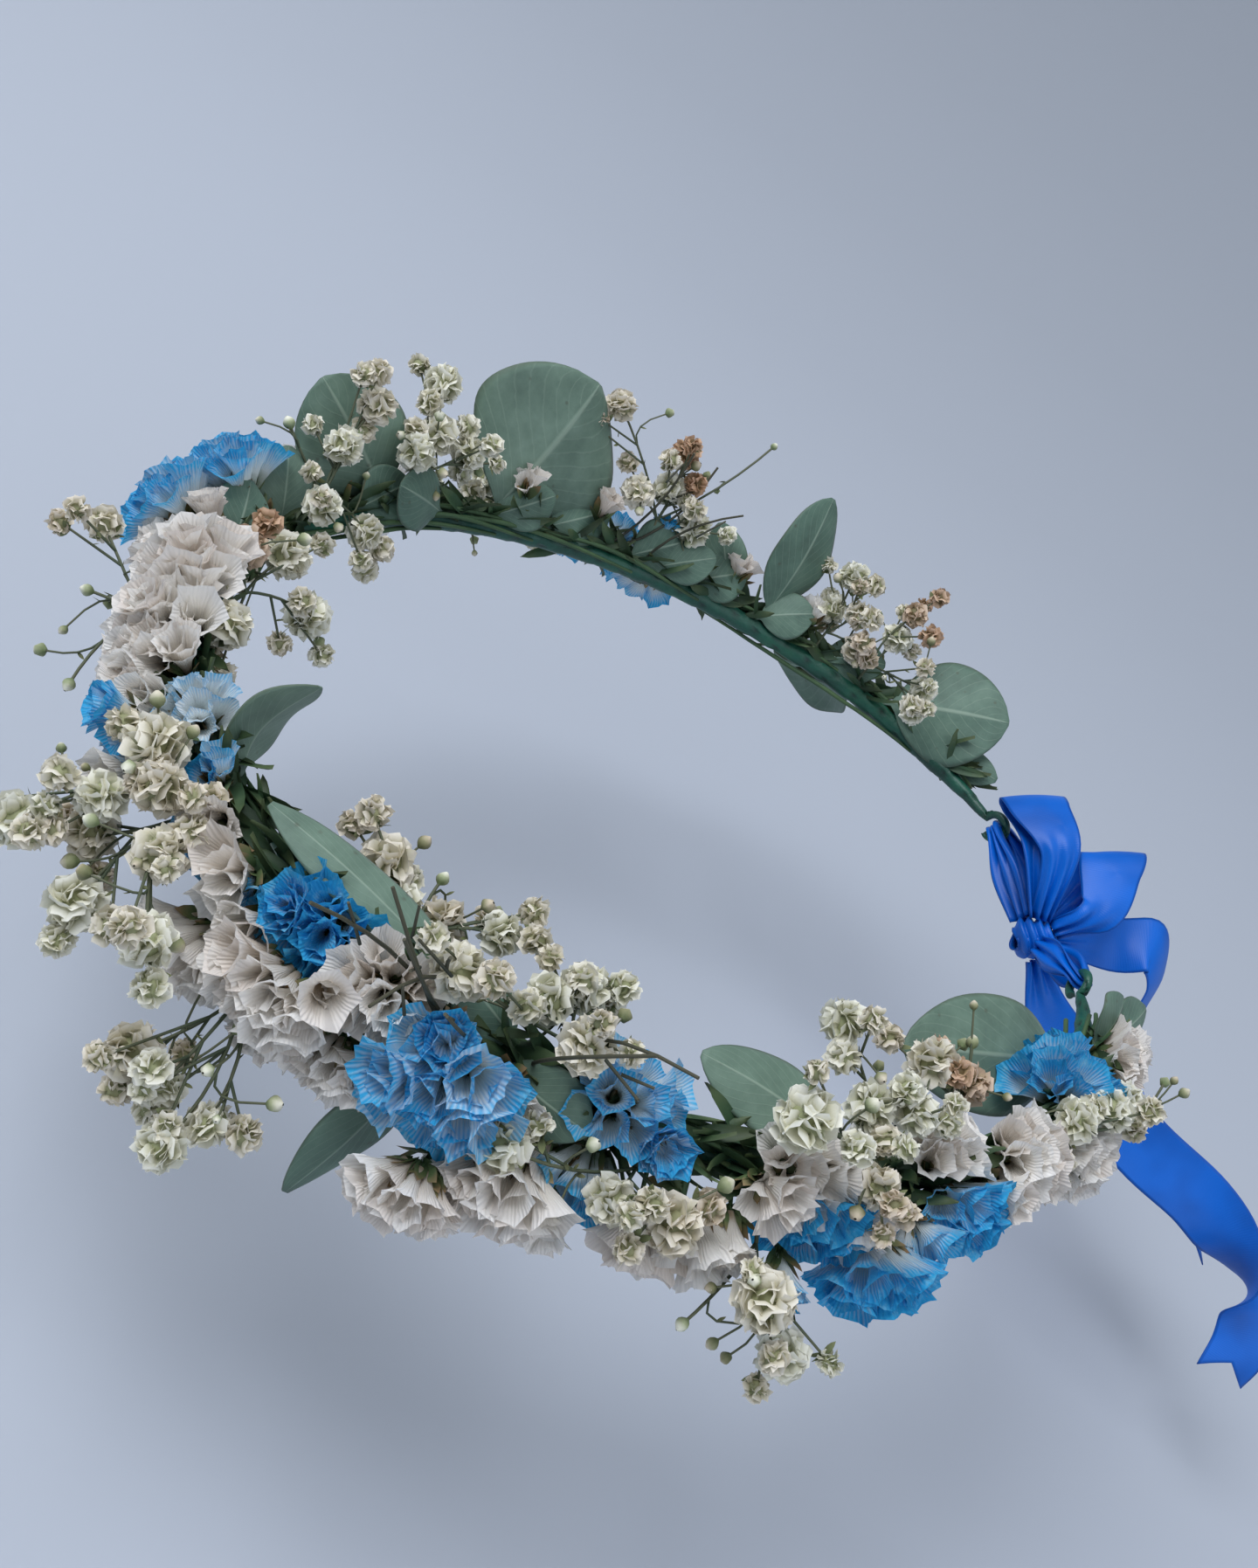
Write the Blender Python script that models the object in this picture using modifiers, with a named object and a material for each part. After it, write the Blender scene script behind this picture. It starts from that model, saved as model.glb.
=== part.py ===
"""Floral crown: a taped wire band with dried flowers and leaves, tied at the back with a satin ribbon.

The crown is modelled level. The origin is the middle of the band's oval, where it sits on the head.
-Y is the front, +Y is the back with the bow, +X is the wearer's left, +Z is up.

Places on the crown are ring places: deg is the angle round the band from the front, 90 at +X and
180 at the back. out and up are how far the place lies from the band's middle line, outwards and
upwards, as shares of FLOWER_REACH.
"""

import math

import bmesh
import bpy
from mathutils import Matrix, Vector

# Driving sizes, in metres
HEAD_LENGTH = 0.196
HEAD_WIDTH = 0.162
WIRE_THICK = 0.0044
WIRE_END_THICK = 0.0016
EYE_RADIUS = 0.0030
CLEARANCE = 0.0003

FLOWER_REACH = 0.020
STEM_THICK = 0.0014
TWIG_THICK = 0.0010
LEAF_THICK = 0.0010
LEAF_STALK_WIDTH = 0.0018
FAN_LENGTH = 0.0100
FAN_MOUTH = 0.0150
FAN_THROAT = 0.0030
FORK_BALL = 0.0026
BREATH_HEAD = 0.0082

RIBBON_WIDTH = 0.0150
RIBBON_THICK = 0.0010
KNOT_SIZE = 0.0095
TAIL_LENGTH = 0.100
LOOP_LENGTH = 0.034

# The band: where its ends are, how far each end tapers and how far the wire turns in each eye
NEAR_END_DEG = 161
FAR_END_DEG = 199
TAPER_DEG = 12
EYE_SWEEP_DEG = 285

# Leaf blade: how much of the length is bare stalk, and how full the outline is (1 is pointed)
LEAF_STALK_SHARE = 0.10
LEAF_FULLNESS = 0.6

# Fan of calyxes: depth of its lobes as a share of its radius, its thickness across as a share of its
# width, and how far its sides droop and its middle dishes as shares of its length
FAN_LOBE = 0.14
FAN_FLAT = 0.72
FAN_DROOP = 0.16
FAN_DISH = 0.22

# Where a sprig forks, as a share of the way from its foot to the middle of its flowers
FORK_SHARE = 0.45

# How finely each shape is cut
BAND_STEP_DEG = 7
EYE_STEPS = 7
WIRE_SIDES_RESOLUTION = 2
LEAF_ROWS = 7
FAN_SIDES = 12
STRIP_STEPS = 3
STRIP_COLUMNS = 2
NEARLY_PARALLEL = 0.3
TWIG_SIDES = 3
STEM_SIDES = 4

# Where the bow's knot sits, as a ring place in metres from the band's middle line
KNOT_DEG = 177
KNOT_OUT = -0.001
KNOT_UP = -0.007

# The finish of each kind of piece: linear colour and roughness
FINISHES = {
    "floral_tape": ((0.006, 0.062, 0.040), 0.55),
    "eucalyptus_leaf": ((0.110, 0.180, 0.140), 0.70),
    "white_statice": ((0.660, 0.620, 0.560), 0.80),
    "blue_statice": ((0.020, 0.270, 0.720), 0.75),
    "babys_breath": ((0.650, 0.650, 0.480), 0.85),
    "blue_satin": ((0.004, 0.075, 0.440), 0.35),
}

# Leaves: foot is the angle at which the stalk leaves the band and tip is a ring place. width is in
# metres. lift bends the blade off the straight line from foot to tip, as a share of its length. face
# is the way the blade's upper side looks: outwards, upwards and along the band.
LEAVES = {
    "eucalyptus_leaf_01": dict(
        foot=290, tip=(280, 0.70, 1.70), width=0.041, lift=0.04, face=(-0.9, 0.4, 0.1)
    ),
    "eucalyptus_leaf_02": dict(
        foot=306, tip=(314, 0.95, 1.05), width=0.025, lift=0.05, face=(-0.8, 0.5, 0.3)
    ),
    "eucalyptus_leaf_03": dict(
        foot=251, tip=(257, 0.50, 0.80), width=0.011, lift=0.05, face=(-0.9, 0.4, 0.2)
    ),
    "eucalyptus_leaf_04": dict(
        foot=246, tip=(246, 0.65, 1.70), width=0.017, lift=0.06, face=(-0.8, 0.3, -0.4)
    ),
    "eucalyptus_leaf_05": dict(
        foot=224, tip=(208, 0.45, 0.85), width=0.027, lift=0.05, face=(-0.7, 0.6, 0.1)
    ),
    "eucalyptus_leaf_06": dict(
        foot=143, tip=(112, -1.20, 0.10), width=0.023, lift=0.06, face=(0.7, 0.7, 0.0)
    ),
    "eucalyptus_leaf_07": dict(
        foot=93, tip=(75, -0.50, 0.42), width=0.014, lift=0.10, face=(0.5, 0.9, 0.2)
    ),
    "eucalyptus_leaf_08": dict(
        foot=19, tip=(17, -0.45, 0.95), width=0.014, lift=-0.20, face=(-0.4, 0.5, 0.8)
    ),
    "eucalyptus_leaf_09": dict(
        foot=55, tip=(27, 0.20, 0.50), width=0.010, lift=0.05, face=(0.2, 1.0, 0.0)
    ),
    "eucalyptus_leaf_10": dict(
        foot=57, tip=(66, 0.45, 0.15), width=0.011, lift=0.12, face=(0.8, 0.4, 0.0)
    ),
    "eucalyptus_leaf_11": dict(
        foot=51, tip=(49, 0.95, -1.45), width=0.012, lift=0.08, face=(0.3, 0.6, 0.7)
    ),
    "eucalyptus_leaf_12": dict(
        foot=228, tip=(238, 1.00, -0.70), width=0.028, lift=0.06, face=(0.8, 0.6, 0.0)
    ),
    "eucalyptus_leaf_13": dict(
        foot=326, tip=(323, 0.45, 0.70), width=0.011, lift=0.06, face=(-0.6, 0.4, 0.6)
    ),
}

# Statice: foot on the band, then a row for each fan of calyxes: deg, out, up of the fan's mouth,
# its size as a share of a full fan, and the number of calyxes.
STATICE = {
    "white_statice_01": dict(foot=351, fans=[(349, 0.40, 0.70, 1.15, 4), (356, 0.45, 0.50, 1.05, 4)]),
    "white_statice_02": dict(foot=4, fans=[(1, 0.70, 0.10, 0.95, 4), (6, 0.75, -0.05, 0.80, 3)]),
    "white_statice_03": dict(foot=36, fans=[(31, 0.90, -0.75, 0.95, 4), (39, 1.05, -0.25, 1.00, 4)]),
    "white_statice_04": dict(foot=45, fans=[(45, 0.85, -0.50, 0.75, 4), (46, 0.70, 0.40, 0.80, 4)]),
    "white_statice_05": dict(foot=61, fans=[(56, 1.30, -0.70, 0.85, 4), (62, 1.05, -0.50, 1.00, 4)]),
    "white_statice_06": dict(foot=77, fans=[(77, 0.80, -0.60, 1.05, 4)]),
    "white_statice_07": dict(foot=86, fans=[(86, 0.40, 0.45, 0.90, 4)]),
    "white_statice_08": dict(foot=107, fans=[(103, -0.05, 0.50, 0.85, 3), (115, 0.20, 0.40, 0.95, 4)]),
    "white_statice_09": dict(foot=139, fans=[(128, 0.50, 0.00, 0.95, 4), (147, 0.40, 0.30, 0.90, 4)]),
    "white_statice_10": dict(foot=311, fans=[(318, 0.85, -0.20, 1.10, 4), (304, 0.80, -0.30, 1.00, 4)]),
    "blue_statice_01": dict(foot=334, fans=[(330, 0.80, 0.65, 1.00, 3), (338, 1.00, 0.35, 0.95, 3)]),
    "blue_statice_02": dict(foot=12, fans=[(12, 0.70, -0.30, 0.80, 3), (12, 0.30, 0.40, 0.60, 2)]),
    "blue_statice_03": dict(foot=27, fans=[(25, 0.45, -0.15, 0.75, 3), (30, 0.45, -0.20, 0.75, 3)]),
    "blue_statice_04": dict(foot=38, fans=[(38, 0.55, 0.30, 0.90, 4)]),
    "blue_statice_05": dict(foot=53, fans=[(54, 1.05, 0.20, 1.15, 5)]),
    "blue_statice_06": dict(foot=67, fans=[(68, 0.25, 0.50, 0.90, 3)]),
    "blue_statice_07": dict(foot=92, fans=[(89, 0.60, -0.10, 1.00, 4), (96, 0.95, -0.45, 1.05, 4)]),
    "blue_statice_08": dict(foot=104, fans=[(105, 0.60, 0.05, 1.00, 4)]),
    "blue_statice_09": dict(foot=133, fans=[(132, -0.35, 0.50, 1.05, 4)]),
    "blue_statice_10": dict(foot=69, fans=[(68, 0.60, -0.55, 0.95, 3)]),
    "blue_statice_11": dict(foot=266, fans=[(262, 0.90, -0.30, 1.00, 3), (270, 0.80, -0.10, 0.90, 3)]),
}

# Baby's breath: foot on the band, then a row for each head: deg, out, up and its size as a share of
# BREATH_HEAD. Buds are the small ones.
SPRAYS = {
    "babys_breath_01": dict(
        foot=344,
        heads=[
            (341, -0.05, 0.40, 1.00),
            (333, -0.30, 0.20, 1.10),
            (335, -0.75, -0.15, 1.05),
            (357, -0.15, 0.35, 1.00),
        ],
    ),
    "babys_breath_02": dict(
        foot=320,
        heads=[
            (315, -0.35, 0.15, 0.90),
            (327, -0.25, 0.60, 0.90),
            (317, 0.20, 0.80, 0.95),
            (312, 0.35, 1.15, 0.95),
            (323, 0.55, 0.90, 0.60),
        ],
    ),
    "babys_breath_03": dict(
        foot=302,
        heads=[
            (300, 0.40, 0.80, 1.10),
            (299, 0.75, 1.20, 1.00),
            (306, 0.05, 0.80, 0.95),
            (296, 0.20, 0.75, 0.90),
        ],
    ),
    "babys_breath_04": dict(
        foot=266,
        heads=[
            (276, 0.70, 1.55, 0.90),
            (270, 0.30, 0.80, 1.00),
            (266, 0.55, 1.40, 0.80),
            (266, 0.40, 0.95, 0.95),
            (261, 0.20, 0.70, 1.10),
            (256, 0.70, 1.90, 0.45),
        ],
    ),
    "babys_breath_05": dict(
        foot=237,
        heads=[
            (238, 0.40, 1.10, 0.90),
            (238, 0.25, 0.65, 0.90),
            (235, 0.10, 0.85, 0.80),
            (232, 0.00, 0.50, 0.90),
        ],
    ),
    "babys_breath_06": dict(
        foot=229,
        heads=[
            (228, 0.30, 0.80, 0.90),
            (228, 0.40, 1.15, 0.75),
            (220, -0.35, 0.75, 0.80),
            (219, -0.60, 0.55, 0.75),
        ],
    ),
    "babys_breath_07": dict(
        foot=353,
        heads=[
            (346, 1.05, 0.20, 0.80),
            (352, 0.95, -0.10, 0.55),
            (2, 0.90, -0.40, 0.55),
        ],
    ),
    "babys_breath_08": dict(
        foot=16,
        heads=[
            (17, 0.65, 0.30, 1.20),
            (21, 0.75, 0.25, 1.10),
            (18, 0.95, -0.15, 0.95),
            (15, 1.35, -0.70, 1.00),
        ],
    ),
    "babys_breath_09": dict(
        foot=21,
        heads=[
            (18, 0.90, -0.55, 1.00),
            (23, 1.15, -0.75, 1.10),
            (32, 1.35, -0.05, 1.00),
            (26, 0.90, 0.05, 1.00),
        ],
    ),
    "babys_breath_10": dict(
        foot=37,
        heads=[
            (35, 1.35, -0.95, 1.05),
            (38, 1.35, -1.00, 0.90),
            (41, 1.55, -1.15, 0.90),
            (42, 1.25, -1.05, 0.80),
        ],
    ),
    "babys_breath_11": dict(
        foot=44,
        heads=[
            (36, -0.58, 0.25, 1.10),
            (40, -0.52, 0.10, 0.95),
            (45, -0.60, 0.15, 1.05),
            (42, -0.75, 0.40, 0.55),
            (51, -0.70, 0.35, 0.85),
        ],
    ),
    "babys_breath_12": dict(
        foot=62,
        heads=[
            (50, 0.30, 0.68, 1.05),
            (58, -0.20, 0.50, 0.95),
            (61, -0.50, 0.50, 1.00),
            (62, 0.25, 0.70, 1.05),
        ],
    ),
    "babys_breath_13": dict(
        foot=71,
        heads=[
            (60, 0.80, 0.00, 1.00),
            (69, 0.80, 0.00, 0.90),
            (74, 0.85, 0.05, 1.10),
        ],
    ),
    "babys_breath_14": dict(
        foot=84,
        heads=[
            (79, 1.10, -0.70, 0.55),
            (83, 1.10, -0.20, 1.20),
            (88, 1.15, -0.75, 1.00),
        ],
    ),
    "babys_breath_15": dict(
        foot=94,
        heads=[
            (81, 0.30, 0.90, 1.20),
            (90, -0.85, 0.85, 0.95),
            (92, -0.20, 0.65, 1.00),
            (96, -0.10, 0.75, 0.90),
            (91, 0.45, 0.50, 0.90),
        ],
    ),
    "babys_breath_16": dict(
        foot=110,
        heads=[
            (108, -0.80, 0.45, 1.10),
            (115, -0.85, 0.60, 0.60),
            (113, -0.55, 0.40, 0.90),
        ],
    ),
    "babys_breath_17": dict(
        foot=124,
        heads=[
            (123, 0.15, 0.55, 1.00),
            (130, 0.30, 0.55, 1.00),
            (138, 0.40, 0.35, 0.90),
            (142, 0.60, 0.60, 0.55),
        ],
    ),
    "babys_breath_18": dict(
        foot=282,
        heads=[
            (280, 0.90, -0.10, 1.10),
            (286, 0.80, 0.10, 1.00),
            (288, 0.85, -0.45, 0.90),
            (276, 0.70, -0.40, 1.00),
        ],
    ),
}

# How far the ribbon is bunched where it enters the knot and where it turns in the wire's eye, as
# shares of RIBBON_WIDTH, and how far that turn reaches from the eye's middle in EYE_RADIUS.
KNOT_PINCH = 0.28
EYE_PINCH = 0.20
EYE_TURN = 0.75

# Ribbon strips. Each row is a place as shares of a named length from the knot (x, y, z), the
# strip's width as a share of RIBBON_WIDTH, and the way its width runs (side_x, side_y, side_z).
UPPER_LOOP = [
    (-0.14, -0.06, 0.28, KNOT_PINCH, 0.2, 0.8, 0.5),
    (-0.42, -0.10, 0.46, 0.60, 0.2, 0.8, 0.5),
    (-0.80, 0.02, 0.46, 0.95, 0.2, 0.8, 0.5),
    (-0.86, -0.02, 0.54, 1.00, 0.2, 0.8, 0.5),
    (-0.66, -0.10, 0.60, 0.95, 0.2, 0.8, 0.5),
    (-0.28, -0.08, 0.56, 0.60, 0.2, 0.8, 0.5),
    (-0.08, -0.05, 0.30, KNOT_PINCH, 0.2, 0.8, 0.5),
]
SIDE_LOOP = [
    (-0.14, 0.20, 0.14, KNOT_PINCH, 0.3, 0.7, 0.5),
    (-0.34, 0.46, 0.30, 0.65, 0.2, 0.8, 0.5),
    (-0.46, 0.52, 0.46, 0.90, 0.2, 0.8, 0.5),
    (-0.40, 0.46, 0.60, 1.00, 0.2, 0.8, 0.5),
    (-0.24, 0.36, 0.58, 0.95, 0.2, 0.8, 0.5),
    (0.04, 0.26, 0.40, 0.65, 0.2, 0.8, 0.5),
    (0.03, 0.14, 0.19, KNOT_PINCH, 0.3, 0.7, 0.5),
]
LONG_TAIL = [
    (0.05, 0.03, -0.05, KNOT_PINCH, 0.5, -0.2, -0.8),
    (0.15, 0.10, -0.12, 0.80, 0.5, -0.3, -0.8),
    (0.38, 0.28, -0.18, 1.00, 0.4, -0.3, -0.9),
    (0.52, 0.44, -0.20, 1.00, 0.4, -0.1, -0.9),
    (0.63, 0.55, -0.25, 1.00, 0.2, 0.5, -0.7),
    (0.70, 0.59, -0.31, 0.95, 0.6, 0.4, -0.6),
    (0.76, 0.60, -0.38, 0.95, 0.6, 0.7, -0.3),
    (0.80, 0.58, -0.46, 0.95, 0.2, 0.9, 0.1),
]
SHORT_TAIL = [
    (0.00, 0.12, 0.02, KNOT_PINCH, -0.5, 0.4, 0.7),
    (-0.01, 0.24, 0.03, 0.80, -0.6, 0.3, 0.7),
    (0.01, 0.33, 0.08, 1.00, -0.6, 0.6, 0.4),
    (0.05, 0.39, 0.01, 1.00, -0.5, 0.8, -0.1),
    (0.12, 0.40, -0.13, 1.00, -0.4, 0.8, -0.4),
    (0.30, 0.50, -0.26, 1.00, -0.3, 0.8, -0.5),
    (0.52, 0.66, -0.38, 0.90, 0.1, 0.8, -0.3),
]
NOTCH_SHARE = 0.55

# The tie runs from the knot along the inside, through the wire's eye and back along the outside.
# Rows: share of the way from eye to knot, out in turns of the eye, rise in ribbon widths, width share.
TIE_ROWS = [
    (0.60, -1.2, -0.05, 0.35),
    (0.35, -1.3, 0.00, 0.50),
    (0.00, -1.0, 0.00, EYE_PINCH),
    (0.00, 1.0, 0.00, EYE_PINCH),
    (0.35, 1.4, -0.02, 0.60),
    (0.60, 1.3, -0.05, 0.35),
]


def clear_scene():
    """Start from an empty scene."""
    for old in list(bpy.data.objects):
        bpy.data.objects.remove(old)


def new_collection(name):
    collection = bpy.data.collections.new(name)
    bpy.context.scene.collection.children.link(collection)
    return collection


def finish(name):
    """The material of one kind of sub-part."""
    material = bpy.data.materials.get(name)
    if material is None:
        colour, roughness = FINISHES[name]
        material = bpy.data.materials.new(name)
        material.use_nodes = True
        shader = material.node_tree.nodes["Principled BSDF"]
        shader.inputs["Base Color"].default_value = (*colour, 1.0)
        shader.inputs["Roughness"].default_value = roughness
        shader.inputs["Metallic"].default_value = 0.0
    return material


def ring_axes(deg):
    """The band's middle point at an angle, with the directions along it and outwards."""
    angle = math.radians(deg)
    half_width = (HEAD_WIDTH + WIRE_THICK) / 2
    half_length = (HEAD_LENGTH + WIRE_THICK) / 2
    middle = Vector((half_width * math.sin(angle), -half_length * math.cos(angle), 0))
    along = Vector((half_width * math.cos(angle), half_length * math.sin(angle), 0)).normalized()
    outward = Vector((along.y, -along.x, 0))
    return middle, along, outward


def ring_place(deg, out, up):
    """A place on the crown from its angle and its distances from the band, in metres."""
    middle, _, outward = ring_axes(deg)
    return middle + outward * out + Vector((0, 0, up))


def flower_place(deg, out, up):
    """A ring place whose distances are shares of FLOWER_REACH."""
    return ring_place(deg, out * FLOWER_REACH, up * FLOWER_REACH)


def foot_of(deg, target):
    """Where a stem stands on the band, leaning towards its target, and its direction there."""
    middle, along, _ = ring_axes(deg)
    lean = target - middle
    lean -= along * lean.dot(along)
    lean.normalize()
    return middle + lean * (WIRE_THICK / 2 + CLEARANCE), lean


def link(obj, collection, material_name):
    obj.data.materials.append(finish(material_name))
    collection.objects.link(obj)
    return obj


def smooth_path(points, steps):
    """Points on a smooth curve through the given ones, with so many steps between neighbours."""
    ends = [points[0] * 2 - points[1]] + list(points) + [points[-1] * 2 - points[-2]]
    path = []
    for a, b, c, d in zip(ends, ends[1:], ends[2:], ends[3:]):
        for i in range(steps):
            t = i / steps
            path.append(
                0.5 * (2 * b + (c - a) * t + (2 * a - 5 * b + 4 * c - d) * t**2 + (3 * b - a - 3 * c + d) * t**3)
            )
    path.append(points[-1].copy())
    return path


def tube(points, thick, sides):
    """A closed tube through the points, as a bmesh of rings with flat ends."""
    shape = bmesh.new()
    rings = []
    guide = Vector((0, 0, 1))
    for i, point in enumerate(points):
        way = (points[min(i + 1, len(points) - 1)] - points[max(i - 1, 0)]).normalized()
        side = way.cross(guide)
        if side.length < NEARLY_PARALLEL:
            side = way.orthogonal()
        side.normalize()
        top = side.cross(way)
        guide = top
        ring = []
        for k in range(sides):
            turn = math.tau * k / sides
            ring.append(shape.verts.new(point + (side * math.cos(turn) + top * math.sin(turn)) * thick / 2))
        rings.append(ring)
    for ring, after in zip(rings, rings[1:]):
        for k in range(sides):
            shape.faces.new((ring[k], ring[(k + 1) % sides], after[(k + 1) % sides], after[k]))
    shape.faces.new(rings[0])
    shape.faces.new(rings[-1])
    bmesh.ops.recalc_face_normals(shape, faces=shape.faces)
    return shape


def axis_matrix(place, way):
    """A frame at a place whose Z runs along way."""
    return Matrix.Translation(place) @ way.to_track_quat("Z", "Y").to_matrix().to_4x4()


def calyx_fan(base, way, spread, length, size, count):
    """A fan of papery calyxes as one funnel, wide along spread, lobed and dished at its mouth."""
    shape = bmesh.new()
    made = bmesh.ops.create_cone(
        shape,
        cap_ends=True,
        segments=FAN_SIDES,
        radius1=FAN_THROAT * size / 2,
        radius2=FAN_MOUTH * size / 2,
        depth=length,
    )
    rim = [v for v in made["verts"] if v.co.z > 0]
    for vertex in rim:
        turn = math.atan2(vertex.co.y, vertex.co.x)
        swell = 1 + FAN_LOBE * math.cos(count * turn)
        vertex.co.x *= swell
        vertex.co.y *= swell * FAN_FLAT
        vertex.co.z -= length * FAN_DROOP * abs(math.cos(turn)) ** 2
    mouth = max(shape.faces, key=lambda f: f.calc_center_median().z)
    middle = bmesh.ops.poke(shape, faces=[mouth])["verts"][0]
    middle.co.z -= length * FAN_DISH
    bmesh.ops.translate(shape, verts=shape.verts, vec=(0, 0, length / 2))
    bmesh.ops.triangulate(shape, faces=shape.faces)
    side = square_side(spread, way)
    turned = Matrix((side, way.cross(side), way)).transposed().to_4x4()
    shape.transform(Matrix.Translation(base) @ turned)
    return shape


def ball(place, size):
    """A small faceted ball."""
    shape = bmesh.new()
    bmesh.ops.create_icosphere(shape, subdivisions=1, radius=size / 2)
    bmesh.ops.translate(shape, verts=shape.verts, vec=place)
    return shape


def fuse(name, shapes, collection, material_name):
    """Join overlapping closed shapes into one closed body named name."""
    operands = bpy.data.collections.new(name + "_shapes")
    parts = []
    for i, shape in enumerate(shapes):
        mesh = bpy.data.meshes.new(f"{name}_shape_{i}")
        shape.to_mesh(mesh)
        shape.free()
        part = bpy.data.objects.new(mesh.name, mesh)
        parts.append(part)
        if i:
            operands.objects.link(part)
    collection.objects.link(parts[0])
    bpy.context.scene.collection.children.link(operands)
    union = parts[0].modifiers.new("union", "BOOLEAN")
    union.operation = "UNION"
    union.solver = "EXACT"
    union.operand_type = "COLLECTION"
    union.collection = operands
    evaluated = parts[0].evaluated_get(bpy.context.evaluated_depsgraph_get())
    body = bpy.data.meshes.new_from_object(evaluated)
    body.name = name
    tidy = bmesh.new()
    tidy.from_mesh(body)
    bmesh.ops.triangulate(tidy, faces=tidy.faces)
    tidy.to_mesh(body)
    tidy.free()
    body.materials.clear()
    for part in parts:
        bpy.data.objects.remove(part)
    bpy.data.collections.remove(operands)
    return link(bpy.data.objects.new(name, body), collection, material_name)


def strip(name, rows, collection, material_name, notch=0.0):
    """A flat strip of ribbon through rows of (place, side, width), with a notched far end."""
    shape = bmesh.new()
    made = bmesh.ops.create_grid(shape, x_segments=len(rows) - 1, y_segments=STRIP_COLUMNS, size=1.0)
    for vertex in made["verts"]:
        i = round((vertex.co.x + 1) / 2 * (len(rows) - 1))
        v = vertex.co.y
        place, side, width = rows[i]
        if i == len(rows) - 1 and abs(v) < 0.5:
            before = rows[i - 1][0]
            place = place.lerp(before, notch)
        vertex.co = place + side * (v * width / 2)
    mesh = bpy.data.meshes.new(name)
    shape.to_mesh(mesh)
    shape.free()
    obj = link(bpy.data.objects.new(name, mesh), collection, material_name)
    wall = obj.modifiers.new("wall", "SOLIDIFY")
    wall.thickness = RIBBON_THICK if material_name == "blue_satin" else LEAF_THICK
    wall.offset = 0
    return obj


def square_side(side, way):
    """The part of side that is square to way, as a unit direction."""
    return (side - way * side.dot(way)).normalized()


def directions(points):
    """The direction of travel at each point of a path."""
    ways = []
    for i in range(len(points)):
        before = points[max(i - 1, 0)]
        after = points[min(i + 1, len(points) - 1)]
        ways.append((after - before).normalized())
    return ways


def blade_share(u):
    """A round leaf's half width at a share u of its length, from 0 to 1."""
    if u < LEAF_STALK_SHARE:
        return 0.0
    inside = (u - LEAF_STALK_SHARE) / (1 - LEAF_STALK_SHARE)
    return max(0.0, math.sin(math.pi * inside)) ** LEAF_FULLNESS


def make_leaf(name, foot, tip, width, lift, face, collection):
    """A cupped leaf blade on its stalk."""
    end = flower_place(*tip)
    start, lean = foot_of(foot, end)
    _, along, outward = ring_axes(foot)
    facing = outward * face[0] + Vector((0, 0, face[1])) + along * face[2]
    length = (end - start).length
    points = []
    for i in range(LEAF_ROWS + 1):
        u = i / LEAF_ROWS
        straight = start.lerp(end, u)
        points.append(straight + facing.normalized() * (lift * length * math.sin(math.pi * u)))
    points[1] = start + lean * (points[1] - start).length
    rows = []
    for i, (point, way) in enumerate(zip(points, directions(points))):
        u = i / LEAF_ROWS
        side = square_side(way.cross(facing), way)
        rows.append((point, side, max(LEAF_STALK_WIDTH, width * blade_share(u))))
    return strip(name, rows, collection, "eucalyptus_leaf")


def make_wire_band(collection):
    """The taped wire, open at the back, with a small eye bent at each end."""
    points = []
    for end_deg, side in ((NEAR_END_DEG, 1), (FAR_END_DEG, -1)):
        middle, along, _ = ring_axes(end_deg)
        way = along * side
        centre = middle + way * EYE_RADIUS
        eye = []
        for i in range(EYE_STEPS + 1):
            turn = math.radians(180 - EYE_SWEEP_DEG * i / EYE_STEPS)
            offset = way * math.cos(turn) + Vector((0, 0, math.sin(turn)))
            eye.append((centre + offset * EYE_RADIUS, WIRE_END_THICK / WIRE_THICK))
        points.append(eye)
    near_eye, far_eye = points
    band = []
    steps = round((NEAR_END_DEG + 360 - FAR_END_DEG) / BAND_STEP_DEG)
    for i in range(1, steps):
        deg = NEAR_END_DEG - (NEAR_END_DEG + 360 - FAR_END_DEG) * i / steps
        from_end = min(NEAR_END_DEG - deg, deg + 360 - FAR_END_DEG)
        swell = min(1.0, from_end / TAPER_DEG)
        thin = WIRE_END_THICK / WIRE_THICK
        band.append((ring_place(deg, 0, 0), thin + (1 - thin) * swell))
    route = list(reversed(near_eye)) + band + far_eye
    curve = bpy.data.curves.new("wire_band", "CURVE")
    curve.dimensions = "3D"
    curve.bevel_depth = WIRE_THICK / 2
    curve.bevel_resolution = WIRE_SIDES_RESOLUTION
    curve.use_fill_caps = True
    line = curve.splines.new("POLY")
    line.points.add(len(route) - 1)
    for point, (place, radius) in zip(line.points, route):
        point.co = (*place, 1.0)
        point.radius = radius
    return link(bpy.data.objects.new("wire_band", curve), collection, "floral_tape")


def make_statice(name, foot, fans, collection):
    """A statice sprig: a stem from the band that forks to fans of papery calyxes."""
    mouths = [flower_place(deg, out, up) for deg, out, up, _, _ in fans]
    middle = sum(mouths, Vector()) / len(mouths)
    start, lean = foot_of(foot, middle)
    fork = start + lean * (middle - start).length * FORK_SHARE
    shapes = [tube([start, fork], STEM_THICK, STEM_SIDES), ball(fork, FORK_BALL)]
    for mouth, (deg, _, _, size, count) in zip(mouths, fans):
        root, along, _ = ring_axes(deg)
        reach = (mouth - root).length
        way = (mouth - root) / reach
        length = min(FAN_LENGTH * size, reach - WIRE_THICK / 2 - FAN_THROAT / 2)
        base = mouth - way * length
        shapes.append(tube([fork, base + way * STEM_THICK], TWIG_THICK, TWIG_SIDES))
        shapes.append(calyx_fan(base, way, along, length, size, count))
    colour = "white_statice" if name.startswith("white") else "blue_statice"
    return fuse(name, shapes, collection, colour)


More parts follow.
